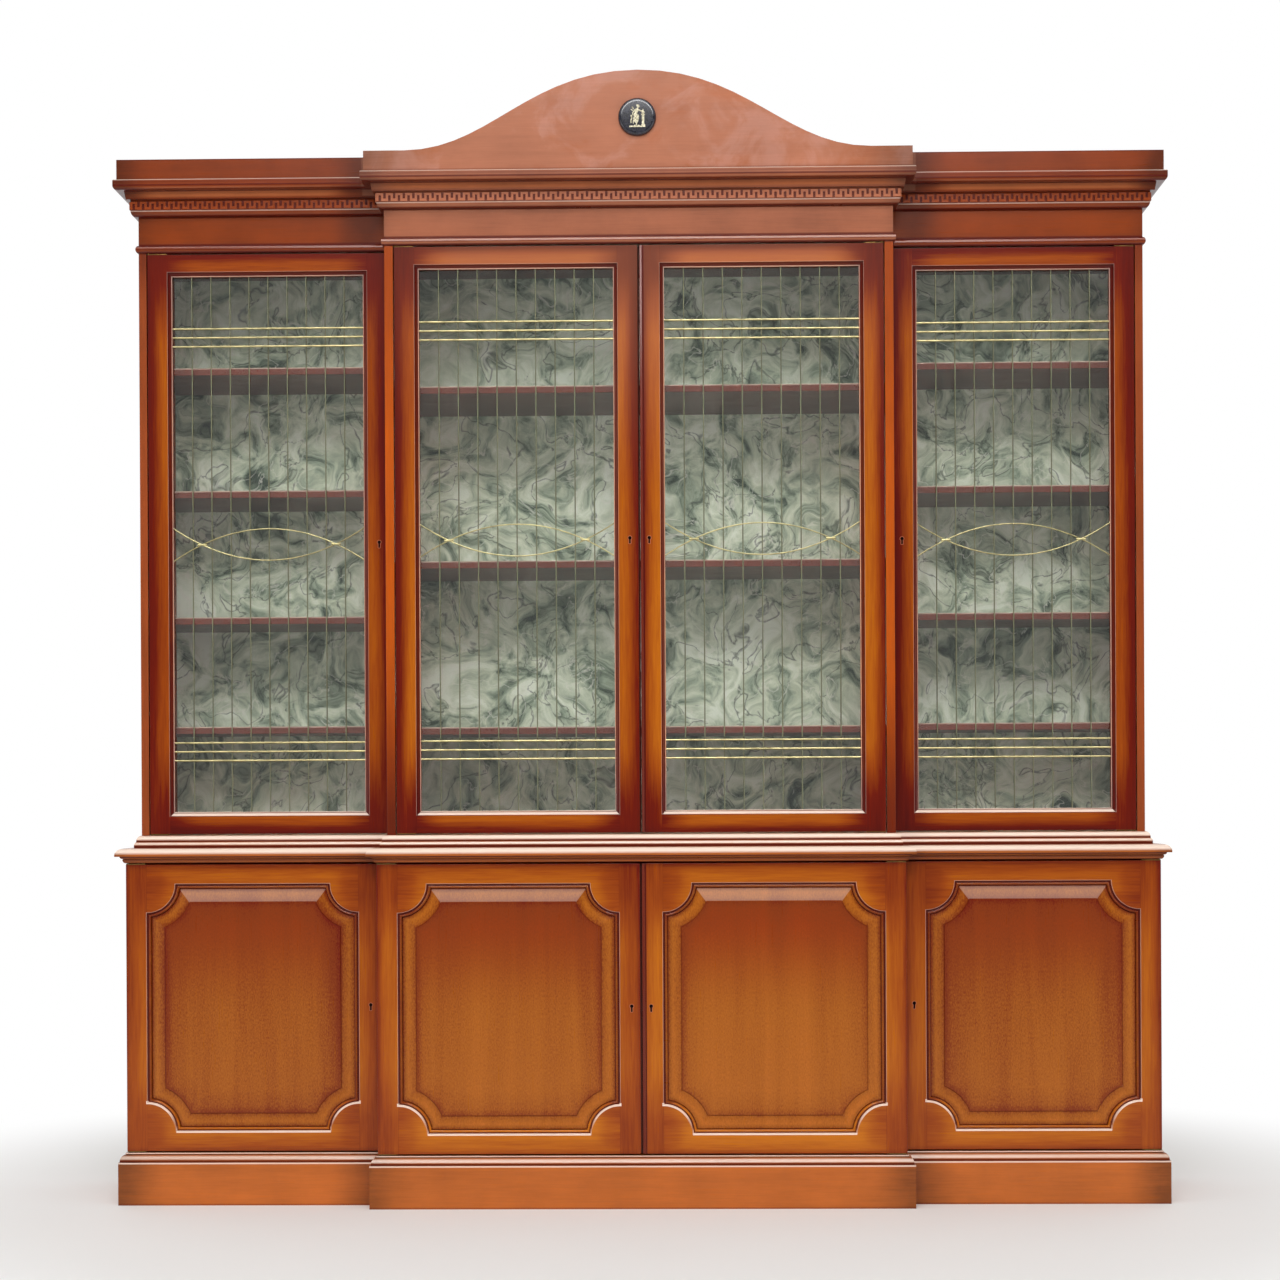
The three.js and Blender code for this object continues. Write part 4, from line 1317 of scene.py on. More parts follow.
# The camera as solved from the photo's edges: metres, millimetres and degrees
CAMERA_PLACE = (0.10556, -5.5493, 0.85558)
CAMERA_SENSOR, CAMERA_LENS, CAMERA_SHIFT_Y = 36, 73.276, 0.12481
CAMERA_PAN, CAMERA_TILT, CAMERA_ROLL = 1.139, 90 - 0.17, -0.28

# Brightness of the grey room in front of the cabinet, by the height of the direction
ROOM_STOPS = ((0.0, 0.16), (0.22, 0.09), (0.34, 0.6), (0.55, 0.9), (0.9, 0.4))


class CABINET_OT_stage(bpy.types.Operator):
    """Make the pale floor, the soft studio light and the camera."""

    bl_idname = "cabinet.stage"
    bl_label = "Stage"

    def execute(self, context):
        self.make_floor()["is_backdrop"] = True
        self.light_room(context)
        for softbox in SOFTBOXES:
            self.light_softbox(*softbox)
        self.place_camera(context)
        context.scene.view_settings.view_transform = "Standard"
        return {"FINISHED"}

    def make_floor(self):
        deselect()
        bpy.ops.mesh.primitive_plane_add(size=40, location=(0, 0, 0))
        floor = new_piece("studio_floor")
        bpy.ops.mesh.subdivide(number_cuts=3)
        settle(floor, smooth=0)
        material, tree, position = new_material("studio paper, pale")
        # Away from the cabinet the floor fades to the white of the background. In front of it the
        # lacquer mirrors the floor as it is, which keeps the wood's depth.
        reach = add_node(
            tree, "ShaderNodeVectorMath", {0: position}, operation="LENGTH"
        ).outputs["Value"]
        behind = rising(
            tree, add_node(tree, "ShaderNodeSeparateXYZ", {0: position}).outputs["Y"], -3.0, -1.2
        )
        fade = product(tree, rising(tree, reach, 1.2, 2.1), self.seen_white(tree, behind))
        pale = colours().floor
        mottle = add_node(
            tree, "ShaderNodeTexNoise", {"Vector": position, "Scale": 3.0, "Detail": 2.0}
        )
        tone = add_node(
            tree,
            "ShaderNodeMix",
            {FACTOR: mottle, COLOUR_A: pale, COLOUR_B: scaled(pale, 0.985)},
            data_type="RGBA",
        )
        white = add_node(tree, "ShaderNodeEmission", {"Color": grey(1.0), "Strength": 1.0})
        paper = add_node(tree, "ShaderNodeBsdfPrincipled", {"Base Color": tone, "Roughness": 0.9})
        shader = add_node(tree, "ShaderNodeMixShader", {0: fade, 1: paper, 2: white})
        add_node(tree, "ShaderNodeOutputMaterial", {"Surface": shader})
        floor.data.materials.append(material)
        return floor

    def seen_white(self, tree, behind):
        """1 for rays that see the white background: camera, transmission, glossy ones behind."""
        path = add_node(tree, "ShaderNodeLightPath").outputs
        glossy = product(tree, path["Is Glossy Ray"], behind)
        through = add_node(
            tree,
            "ShaderNodeMath",
            {0: path["Is Transmission Ray"], 1: path["Is Camera Ray"]},
            operation="MAXIMUM",
        )
        return add_node(tree, "ShaderNodeMath", {0: through, 1: glossy}, operation="MAXIMUM")

    def light_room(self, context):
        """White behind the cabinet, bright overhead and a darker grey in front of it."""
        world = bpy.data.worlds.new("studio")
        context.scene.world = world
        world.use_nodes = True
        tree = world.node_tree
        tree.nodes.clear()
        direction = add_node(tree, "ShaderNodeTexCoord").outputs["Generated"]
        _, y, z = add_node(tree, "ShaderNodeSeparateXYZ", {0: direction}).outputs
        stops = [(level, grey(value)) for level, value in ROOM_STOPS]
        front = add_node(tree, "ShaderNodeValToRGB", {0: z}, stops)
        behind = product(tree, rising(tree, y, -0.05, 0.35), rising(tree, z, 0.65, 0.4))
        white = add_node(
            tree,
            "ShaderNodeMath",
            {0: behind, 1: self.seen_white(tree, behind)},
            operation="MAXIMUM",
        )
        tone = add_node(
            tree,
            "ShaderNodeMix",
            {FACTOR: white, COLOUR_A: front, COLOUR_B: grey(1.0)},
            data_type="RGBA",
        )
        background = add_node(tree, "ShaderNodeBackground", {"Color": tone, "Strength": 1.0})
        add_node(tree, "ShaderNodeOutputWorld", {"Surface": background})

    def light_softbox(self, name, location, target, size, power, spread):
        deselect()
        bpy.ops.object.light_add(type="AREA", location=location)
        lamp = bpy.context.object
        lamp.name = name
        lamp.data.shape = "RECTANGLE"
        lamp.data.size, lamp.data.size_y = size
        lamp.data.energy = power
        lamp.data.spread = math.radians(spread)
        aim = Vector(target) - lamp.location
        lamp.rotation_euler = aim.to_track_quat("-Z", "Y").to_euler()

    def place_camera(self, context):
        deselect()
        bpy.ops.object.camera_add(location=CAMERA_PLACE)
        camera = context.object
        camera.name = "camera"
        camera.data.sensor_width = CAMERA_SENSOR
        camera.data.lens = CAMERA_LENS
        camera.data.shift_y = CAMERA_SHIFT_Y
        camera.data.dof.use_dof = False
        pan, tilt, roll = (
            Matrix.Rotation(math.radians(turn), 4, axis)
            for turn, axis in ((CAMERA_PAN, "Z"), (CAMERA_TILT, "X"), (CAMERA_ROLL, "Z"))
        )
        camera.rotation_euler = (pan @ tilt @ roll).to_euler()
        context.scene.camera = camera


# Boards of the case: node, name of the finish, tone, seed, arris in units of the arris size, and
# what moulded_wood takes besides, in millimetres. Their lines are painted shade in the quirks
# and under projecting members, and their rubs pale rubbing with painted highlights
CASE_BOARDS = (
    (
        "plinth",
        "plinth",
        "case",
        1.3,
        1.5,
        dict(
            # A painted shadow where the plinth meets the floor, and a painted highlight on its top
            # arris
            lines=((1.5, 1.5, 0.5),),
            rubs_and_highlights=((87.4, 1.4, 0.75),),
            span=(0, 130),
            lift=0.2,
            blotch=0.7,
            burst=(561, 1092, 100, 0.5),
        ),
    ),
    (
        "base_floor",
        "plinth moulding",
        "case",
        2.1,
        0.4,
        dict(
            lines=((91, 2.5, 0.85), (104.5, 1, 0.8)),
            rubs_and_highlights=((98.5, 3, 0.5), (107.2, 1.3, 0.75)),
            span=(80, 113),
            burst=(557, 1088, 60, 0.35),
        ),
    ),
    (
        "counter_top",
        "counter",
        "case",
        4.2,
        0.4,
        dict(
            # Painted shadow under the counter's nose, and a painted highlight along the nose
            lines=((711.5, 1.8, 0.95), (718, 3.2, 0.5), (724.8, 1.4, 0.92)),
            rubs_and_highlights=((738, 5.2, 0.92),),
            span=(700, 760),
            burst=(561, 1092, 50, 0.25),
        ),
    ),
    (
        "upper_floor",
        "waist moulding",
        "case",
        5.4,
        0.4,
        dict(
            lines=((745.5, 2.8, 0.95), (757.3, 1.8, 0.95)),
            rubs_and_highlights=((751.8, 2.2, 0.8), (764.3, 3.8, 0.95)),
            span=(730, 780),
        ),
    ),
    (
        "upper_top",
        "necking",
        "crown",
        6.6,
        0.4,
        dict(
            lines=((1992, 2, 0.9), (1998.5, 1.5, 0.5), (2005.5, 2, 0.9)),
            span=(1980, 2020),
            sky_sheen=True,
        ),
    ),
    (
        "cornice",
        "cornice",
        "crown",
        8.8,
        0.6,
        dict(
            lines=(
                (2008, 2, 0.8),
                (2066.5, 2, 0.85),
                (2089, 10, 0.8),
                (2116.5, 1.5, 0.8),
                (2124.5, 1.6, 0.85),
                (2131, 2, 0.3),
                (2178.4, 1.4, 0.55),
            ),
            rubs_and_highlights=((2077, 1, 0.4), (2136.6, 1.2, 0.6)),
            span=(2000, 2190),
            sky_sheen=True,
            blotch=0.7,
            streak=0.3,
            burst=(575, 1090, 80, 0.4),
            # Painted light on the middle of the wings' frieze and on the fascia under the corona
            glowing=((2008, 2068, 0.0, "frieze"), (2100.5, 2122.5, 0.75, "tan")),
        ),
    ),
    (
        "pediment",
        "pediment",
        "pediment",
        9.9,
        1.0,
        dict(
            gloss=0.45,
            coat=0.2,
            streak=0.2,
            blotch=0.35,
            # Pink patches of painted sky reflection, and warmer ones between them
            patches=("tan", "pink_sheen"),
            lines=((2138.5, 2, 0.3),),
            span=(2120, 2350),
            burst=(None, 583, 160, 0.32),
        ),
    ),
)

# Uprights: tier, kind, tone and fades, which darken them with painted shade above the waist and
# under the crown
UPRIGHTS = (
    ("base", "end", "ends", ()),
    ("upper", "end", "ends", ((1860, 1990, 0.55, "stain"),)),
    ("base", "partition", "strip", ()),
    ("upper", "partition", "strip", ((1200, 770, 0.85, "stain"), (1500, 2020, 0.45, "stain"))),
)

SHELVES = {"wing": ("shelf_left", "shelf_right"), "centre": "shelf_centre", "base": "base_shelf"}


class CABINET_OT_case(bpy.types.Operator):
    """Finish the plinth, the cases, the counter, the shelves and the crown."""

    bl_idname = "cabinet.case"
    bl_label = "Case finish"

    def execute(self, context):
        arris = sizes().arris
        for node, label, tone, seed, share, settings in CASE_BOARDS:
            wood = moulded_wood(f"mahogany, lacquered, {label}", tone, seed, **settings)
            dress([node], wood, share * arris)
        for tier, kind, tone, fades in UPRIGHTS:
            name = f"mahogany, lacquered, {tier} {kind}s"
            wood = moulded_wood(name, tone, 11.1, vertical=1.0, blotch=0.3, fades=fades)
            dress([f"{tier}_{kind}_{side}" for side in ("left", "right")], wood, arris)
        for kind, prefixes in SHELVES.items():
            boards = [name for name in frame["nodes"] if name.startswith(prefixes)]
            if not boards:
                raise RuntimeError(f"There are no {kind} shelves in the frame")
            tops = sorted({round(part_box(name)[1].z / MM, 1) for name in boards})
            name = f"mahogany, stained, {kind} shelves"
            # The front arris of each shelf's top gets a painted highlight
            dress(boards, moulded_wood(name, "shelf", 12.3, gloss=0.4, edges=tops), arris)
        dress(["upper_back"], back_material())
        dress(["base_back"], board_material())
        return {"FINISHED"}


# How much lighter each door is than the usual tone
DOOR_LIFTS = {"left": -0.17, "centre_left": -0.03, "centre_right": 0.05, "right": -0.17}


class CABINET_OT_doors(bpy.types.Operator):
    """Finish the doors' frames, panels, glass and lower hinges."""

    bl_idname = "cabinet.doors"
    bl_label = "Door finish"

    def execute(self, context):
        s = sizes()
        glass = glass_material()
        brass = brass_material("brass, plain, hinges", colours().hinge, 0.3, 5.0)
        for i, place in enumerate(PLACES):
            lift = DOOR_LIFTS[place]
            groove = s.meeting_bead + 1.5 * MM if place == "centre_right" else None
            kinds = ("glazed_frame", "base_frame", "base_panel")
            glazed, base, panel = (f"{kind}_{place}" for kind in kinds)
            wood = door_wood(
                f"mahogany, lacquered, glazed door {place}",
                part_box(glazed),
                s.glazed_stile,
                s.glazed_rail,
                0.0,
                GLAZED_BANDS,
                GLAZED_LOWER_BANDS,
                (0.12, 0.18, 0.43 + lift, 0.74 + lift, 20 * MM),
                20.0 + i,
                groove,
                sky_sheen="centre" in place,
            )
            dress([glazed], wood, 0.8 * s.arris)
            wood = door_wood(
                f"mahogany, lacquered, base door {place}",
                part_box(base),
                s.base_stile,
                s.base_rail,
                s.scoop,
                BASE_BANDS,
                BASE_LOWER_BANDS,
                (0.28, 0.42, 0.62 + 0.5 * lift, 0.76 + 0.5 * lift, 12 * MM),
                30.0 + i,
                groove,
                foot=0.14,
            )
            dress([base], wood, 1.2 * s.arris)
            name = f"mahogany veneer, lacquered, panel {place}"
            wood = panel_wood(name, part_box(panel), s.panel_tongue, s.scoop, 40.0 + i, 0.4 * lift)
            dress([panel], wood)
            dress([f"glass_{place}"], glass)
            dress([f"upper_hinge_{place}", f"base_hinge_{place}"], brass, 0.3 * MM)
        return {"FINISHED"}


class CABINET_OT_fret(bpy.types.Operator):
    """Lay the key fret along the front, the returns and the sides of the cornice."""

    bl_idname = "cabinet.fret"
    bl_label = "Key fret"

    def execute(self, context):
        s = sizes()
        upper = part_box("upper_end_right")
        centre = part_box("upper_partition_right")
        face = s.key_face
        side = upper[1].x + face
        inner = centre[1].x + face
        wing_face = upper[0].y - face
        centre_face = centre[0].y - face
        back = upper[1].y
        bottom = s.fret_level
        material = moulded_wood("mahogany, lacquered, fret", "crown", 15.0, lift=0.22, sky_sheen=True)
        unit = self.one_turn(s)
        front_run = self.run(unit, "fret_run_centre", 2 * inner)
        wing_run = self.run(unit, "fret_run_wing", side - inner)
        end_run = self.run(unit, "fret_run_end", back - wing_face)
        return_run = self.run(unit, "fret_run_return", wing_face - centre_face)
        quarter = math.pi / 2
        centre_fret = copy_of(front_run, "fret_centre", (-inner, centre_face, bottom))
        left = [
            copy_of(wing_run, "fret_wing", (-side, wing_face, bottom)),
            copy_of(end_run, "fret_end", (-side, back, bottom), -quarter),
            copy_of(return_run, "fret_return", (-inner, wing_face, bottom), -quarter),
        ]
        right = [
            copy_of(wing_run, "fret_wing", (inner, wing_face, bottom)),
            copy_of(end_run, "fret_end", (side, wing_face, bottom), quarter),
            copy_of(return_run, "fret_return", (inner, centre_face, bottom), quarter),
        ]
        for run in (unit, front_run, wing_run, end_run, return_run):
            bpy.data.objects.remove(run)
        for piece in (centre_fret, joined("fret_left", left), joined("fret_right", right)):
            finished(piece, material, ROOT)
        return {"FINISHED"}

    def one_turn(self, s):
        """One turn of the key: a bar up, along, down and along, as a flat strip from x = 0."""
        deselect()
        bpy.ops.mesh.primitive_grid_add(x_subdivisions=4, y_subdivisions=3, size=1)
        unit = new_piece("fret_turn")
        bpy.ops.transform.resize(value=(s.fret_period, s.fret_height, 1))
        half = s.fret_height / 2
        third = s.fret_height / 6
        for level, target in ((-third, -half + s.fret_bottom), (third, half - s.fret_top)):
            select(unit, "VERT", lambda p, level=level: abs(p.y - level) < 0.5 * MM)
            bpy.ops.transform.translate(value=(0, target - level, 0))
        quarter = s.fret_period / 4
        low_gap, high_gap = -half + s.fret_bottom, half - s.fret_top

        def empty(p, _):
            column = int((p.x + 2 * quarter) // quarter)
            return (column == 1 and p.y < high_gap) or (column == 3 and p.y > low_gap)

        select(unit, "FACE", empty)
        bpy.ops.mesh.delete(type="FACE")
        bpy.ops.mesh.select_all(action="SELECT")
        bpy.ops.transform.translate(value=(s.fret_period / 2, half, 0))
        deselect()
        return unit

    def run(self, unit, name, span):
        """A run of the fret from x = 0 to a span, upright, facing -Y, with its back at y = 0."""
        s = sizes()
        made = copy_of(unit, name)
        count = max(1, round((span - s.fret_period / 4) / s.fret_period))
        apply_modifier(
            made,
            "ARRAY",
            count=count,
            use_relative_offset=False,
            use_constant_offset=True,
            constant_offset_displace=(s.fret_period, 0, 0),
            use_merge_vertices=True,
            merge_threshold=0.05 * MM,
        )
        activate(made)
        bpy.ops.object.mode_set(mode="EDIT")
        # The run closes on an upright bar, as it began
        end = count * s.fret_period
        near = 0.1 * MM

        def foot_end(p, d):
            return p.x > end - near and abs(d.x) < near and p.y < s.fret_bottom

        def foot_top(p, d):
            return p.x > end + near and abs(d.y) < near and abs(p.y - s.fret_bottom) < near

        select(made, "EDGE", foot_end)
        extrude(x=s.fret_period / 4)
        select(made, "EDGE", foot_top)
        extrude(y=s.fret_height - s.fret_bottom)
        bpy.ops.mesh.select_all(action="SELECT")
        extrude(z=s.fret_thickness)
        outward()
        deselect()
        made.scale.x = span / (end + s.fret_period / 4)
        made.rotation_euler.x = math.pi / 2
        settle(made, smooth=0)
        round_edges(made, 0.5 * MM, 1)
        return made


class CABINET_OT_medallion(bpy.types.Operator):
    """Turn the black medallion and lay its gilt ornament on it."""

    bl_idname = "cabinet.medallion"
    bl_label = "Medallion"

    def execute(self, context):
        low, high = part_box("medallion")
        middle = (low + high) / 2
        radius = (high.x - low.x) / 2
        depth = high.y - low.y
        button = self.turned_disc(radius, depth)
        button.rotation_euler.x = math.pi / 2
        button.location = (middle.x, high.y, middle.z)
        settle(button, smooth=60)
        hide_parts("medallion")
        finished(button, glazed_black_material(), ROOT)
        figure = self.figure()
        figure.rotation_euler.x = math.pi / 2
        figure.location = (middle.x, low.y + 1.4 * MM, middle.z + 1.5 * MM)
        settle(figure, smooth=60)
        finished(figure, gilt_material(), ROOT)
        return {"FINISHED"}

    def figure(self):
        """A draped figure who leans on a pedestal, in low relief, lying on z = 0.

        Each lump is (x, y, half width, half height, turn in degrees) and each block (low x, low y,
        high x, high y), in units of a 48th of the figure's height.
        """
        unit = sizes().figure_height / 48
        lumps = (
            (2.6, 19.0, 2.7, 3.4, 10),
            (0.3, 20.2, 2.1, 2.3, 0),
            (5.1, 18.6, 0.9, 0.7, 0),
            (4.3, 16.7, 1.1, 0.8, 0),
            (1.2, 15.0, 1.4, 2.2, 0),
            (-0.6, 9.8, 3.6, 6.0, -14),
            (-3.0, 1.5, 4.0, 5.0, 8),
            (-3.4, -6.5, 3.3, 9.5, 6),
            (1.2, -7.0, 2.4, 9.5, -10),
            (-6.6, -9.0, 1.8, 8.5, -8),
            (-1.2, -11.5, 1.6, 9.5, 0),
            (4.6, 10.6, 4.6, 1.5, -24),
            (9.0, 9.2, 3.2, 1.2, 14),
            (-5.6, 9.6, 1.5, 5.0, -34),
            (-8.8, 3.0, 1.3, 4.6, 6),
            (-11.4, -3.0, 1.6, 4.6, 14),
            (-12.2, -11.0, 1.5, 5.2, -6),
            (-8.6, 15.2, 1.4, 3.6, 30),
            (-11.0, 11.2, 1.2, 3.0, 58),
            (3.0, -20.4, 2.6, 1.1, 0),
            (-3.4, -20.4, 2.6, 1.1, 0),
            (12.4, 6.2, 3.2, 2.8, 0),
            (12.4, 11.0, 1.2, 2.6, 0),
        )
        blocks = (
            (-16.0, -24.0, 17.0, -21.0),
            (10.0, -21.5, 14.8, 1.0),
            (8.6, 0.6, 16.4, 3.0),
            (8.6, -21.5, 16.4, -18.8),
        )
        deselect()
        bpy.ops.mesh.primitive_cube_add(size=1, location=(0, 0, 0))
        figure = new_piece("medallion_figure")
        bpy.ops.mesh.delete(type="VERT")
        for x, y, half_width, half_height, turn in lumps:
            relief = 1.0 * MM + 0.35 * half_width * unit
            bpy.ops.mesh.primitive_uv_sphere_add(
                segments=20,
                ring_count=12,
                radius=1,
                location=(x * unit, y * unit, 1.4 * MM),
                rotation=(0, 0, math.radians(turn)),
                scale=(half_width * unit, half_height * unit, relief),
            )
        for x0, y0, x1, y1 in blocks:
            bpy.ops.mesh.primitive_cube_add(
                size=1,
                location=((x0 + x1) / 2 * unit, (y0 + y1) / 2 * unit, 1.2 * MM),
                scale=((x1 - x0) * unit, (y1 - y0) * unit, 2.4 * MM),
            )
        deselect()
        apply_modifier(figure, "REMESH", mode="VOXEL", voxel_size=0.4 * MM)
        apply_modifier(figure, "SMOOTH", factor=0.5, iterations=3)
        return figure

    def turned_disc(self, radius, depth):
        """A domed button, spun about Z from a profile, lying on z = 0."""
        deselect()
        bpy.ops.mesh.primitive_circle_add(vertices=64, radius=radius, fill_type="NGON")
        button = new_piece("medallion_disc")
        wall, crown_share, fall = 0.22, 0.84, 0.02
        extrude(z=wall * depth)
        reach, level = radius, wall * depth
        for share in (0.998, 0.99, 0.975, 0.955, 0.93, 0.9, 0.87, 0.84, 0.8, 0.4):
            # A crown that is nearly flat, and a quarter round from it down to the edge
            past = max(share - crown_share, 0.0) / (1 - crown_share)
            crown = 1.0 - fall * min(share / crown_share, 1.0) ** 2
            height = depth * (wall + (1 - wall) * crown * (1 - past**2) ** 0.5)
            bpy.ops.mesh.inset(thickness=reach - share * radius, use_even_offset=False)
            bpy.ops.transform.translate(value=(0, 0, height - level))
            reach, level = share * radius, height
        bpy.ops.mesh.poke(offset=0)
        select(button, "VERT", lambda p: p.xy.length < 0.1 * MM and p.z > 0.5 * depth)
        bpy.ops.transform.translate(value=(0, 0, depth - level))
        outward()
        deselect()
        return button


class CABINET_OT_grilles(bpy.types.Operator):
    """Solder the brass grilles: upright wires, cross bars and two crossing arches."""

    bl_idname = "cabinet.grilles"
    bl_label = "Brass grilles"

    def execute(self, context):
        s = sizes()
        c = colours()
        material = brass_material("brass, lacquered, grille", c.brass, 0.3, 2.0, c.brass_aged)
        for place in PLACES:
            self.grille(s, place, material)
        return {"FINISHED"}

    def grille(self, s, place, material):
        node = f"grille_{place}"
        low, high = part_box(node)
        door_low, door_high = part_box(f"glazed_frame_{place}")
        border = s.glazed_stile + s.glazed_moulding
        sight_x = (door_low.x + border, door_high.x - border)
        border = s.glazed_rail + s.glazed_moulding
        sight_z = (door_low.z + border, door_high.z - border)
        middle_y = (low.y + high.y) / 2
        wire_y = high.y - s.wire / 2
        arch_y = low.y + s.wire / 2
        rods = []
        pitch = (sight_x[1] - sight_x[0]) / (s.wires + 1)
        wire = self.rod("wire", s.wire / 2, high.z - low.z)
        mark(wire, lambda p: 0.0)
        for i in range(s.wires):
            at = (sight_x[0] + (i + 1) * pitch, wire_y, (low.z + high.z) / 2)
            rods.append(copy_of(wire, "wire", at))
        bpy.data.objects.remove(wire)
        bar = self.rod("bar", s.bar / 2, high.x - low.x)
        mark(bar, lambda p: 1.0)
        bar.rotation_euler.y = math.pi / 2
        settle(bar, smooth=60)
        for i in range(s.bars):
            inset = s.bar_inset + i * s.bar_pitch
            for level in (sight_z[0] + inset, sight_z[1] - inset):
                rods.append(copy_of(bar, "bar", ((low.x + high.x) / 2, middle_y, level)))
        bpy.data.objects.remove(bar)
        centre = (sight_z[0] + sight_z[1]) / 2
        fall = s.arch_height * s.arch_low
        for name, end, rise in (
            ("arch_high", centre + s.arch_height - fall, -s.arch_height),
            ("arch_low", centre - s.arch_height + fall, s.arch_height),
        ):
            arch = self.arch(name, s.wire / 2, low.x, high.x, arch_y, end, rise)
            mark(arch, lambda p: 0.95)
            rods.append(arch)
        # The arches cross at this share of the width from either side
        share = (1 - math.sqrt(s.arch_low)) / 2
        binding = self.binding(s, 0.85 * s.wire)
        mark(binding, lambda p: 1.0)
        for x in (low.x + share * (high.x - low.x), high.x - share * (high.x - low.x)):
            rods.append(copy_of(binding, "binding", (x, arch_y, centre)))
        bpy.data.objects.remove(binding)
        made = joined(f"brass_{node}", rods)
        settle(made, smooth=60)
        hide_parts(node)
        finished(made, material, f"upper_door_{place}")

    def binding(self, s, radius):
        """Wire wrapped in close turns round the crossing, along X, about the origin."""
        turns = 8
        step = s.binding / (2 * turns)
        deselect()
        bpy.ops.mesh.primitive_circle_add(vertices=12, radius=0.8 * radius, fill_type="NGON")
        binding = new_piece("binding")
        for i in range(2 * turns):
            extrude(z=step)
            size = 1.25 if i % 2 == 0 else 0.8
            bpy.ops.transform.resize(value=(size, size, 1))
        outward()
        deselect()
        binding.rotation_euler.y = math.pi / 2
        binding.location = (-s.binding / 2, 0, 0)
        return settle(binding, smooth=60)

    def rod(self, name, radius, span):
        """A drawn rod along Z with rounded ends."""
        deselect()
        bpy.ops.mesh.primitive_cylinder_add(vertices=12, radius=radius, depth=span)
        rod = new_piece(name)
        select(rod, "FACE", lambda p, n: abs(n.z) > 0.9)
        bpy.ops.mesh.inset(thickness=0.35 * radius)
        bpy.ops.object.mode_set(mode="OBJECT")
        return rod

    def arch(self, name, radius, x0, x1, y, end, rise):
        """A bent wire from side to side, whose middle stands off its ends by the rise."""
        deselect()
        bpy.ops.curve.primitive_bezier_curve_add()
        wire = bpy.context.object
        wire.name = name
        curve = wire.data
        curve.dimensions = "3D"
        curve.bevel_depth = radius
        curve.bevel_resolution = 2
        curve.resolution_u = 24
        curve.use_fill_caps = True
        # The handles of a parabola lie a third of the way across, on the tangents at its ends
        reach = (x1 - x0) / 3
        for point, x, lean in zip(curve.splines[0].bezier_points, (x0, x1), (1, -1)):
            point.handle_left_type = point.handle_right_type = "FREE"
            point.co = (x, y, end)
            point.handle_left = (x - reach, y, end - lean * rise * 4 / 3)
            point.handle_right = (x + reach, y, end + lean * rise * 4 / 3)
        activate(wire)
        bpy.ops.object.convert(target="MESH")
        return settle(bpy.context.object, smooth=60)


def doors():
    """Every door as (tier, place, body, low corner, high corner, side).

    The side is +1 where the opening edge is the one to -X, and -1 where it is the one to +X.
    """
    for tier, frame_node in (("upper", "glazed_frame"), ("base", "base_frame")):
        for place in PLACES:
            low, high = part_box(f"{frame_node}_{place}")
            side = -1 if place.endswith("left") else 1
            yield tier, place, f"{tier}_door_{place}", low, high, side


def keyhole_of(tier, low, high, side):
    """Where the middle of a door's keyhole is, on its face."""
    s = sizes()
    x = low.x + s.keyhole_inset if side > 0 else high.x - s.keyhole_inset
    return Vector((x, low.y, s.keyhole_upper if tier == "upper" else s.keyhole_base))


class CABINET_OT_keyholes(bpy.types.Operator):
    """Line the keyholes of the eight doors."""

    bl_idname = "cabinet.keyholes"
    bl_label = "Keyholes"

    def execute(self, context):
        s = sizes()
        material = keyhole_material()
        unit = self.keyhole(s)
        for tier, place, body, low, high, side in doors():
            at = keyhole_of(tier, low, high, side)
            piece = copy_of(unit, f"keyhole_{tier}_{place}", (at.x, at.y + 0.3 * MM, at.z))
            finished(piece, material, body)
        bpy.data.objects.remove(unit)
        return {"FINISHED"}

    def keyhole(self, s):
        """A key-shaped rim with a sunk floor, upright and facing -Y, from y = 0 forward."""
        radius = s.keyhole_width / 2 + s.keyhole_rim
        slot = 0.62 * radius
        deselect()
        bpy.ops.mesh.primitive_circle_add(vertices=24, radius=radius, fill_type="NGON")
        piece = new_piece("keyhole")
        # By half a side, so that a side lies square to the slot
        half_side = math.radians(7.5)
        bpy.ops.transform.rotate(value=half_side, orient_axis="Z", center_override=(0, 0, 0))
        select(piece, "EDGE", lambda p, d: p.y < 0 and abs(p.x) < slot)
        reach = s.keyhole_height + 2 * s.keyhole_rim - 2 * radius
        extrude(y=-reach)
        bpy.ops.mesh.select_all(action="SELECT")
        bpy.ops.mesh.normals_make_consistent(inside=False)
        bpy.ops.mesh.select_mode(type="FACE")
        bpy.ops.mesh.select_all(action="SELECT")
        bpy.ops.mesh.dissolve_faces()
        bpy.ops.mesh.select_all(action="SELECT")
        bpy.ops.transform.translate(value=(0, reach / 2, 0))
        extrude(z=0.9 * MM)
        bpy.ops.mesh.inset(thickness=s.keyhole_rim)
        extrude(z=-0.5 * MM)
        outward()
        deselect()
        # The sunk floor is marked for its black of painted shade
        mark(piece, lambda p: 1.0 if 0.2 * MM < p.z < 0.6 * MM else 0.0)
        piece.rotation_euler.x = math.pi / 2
        return settle(piece)


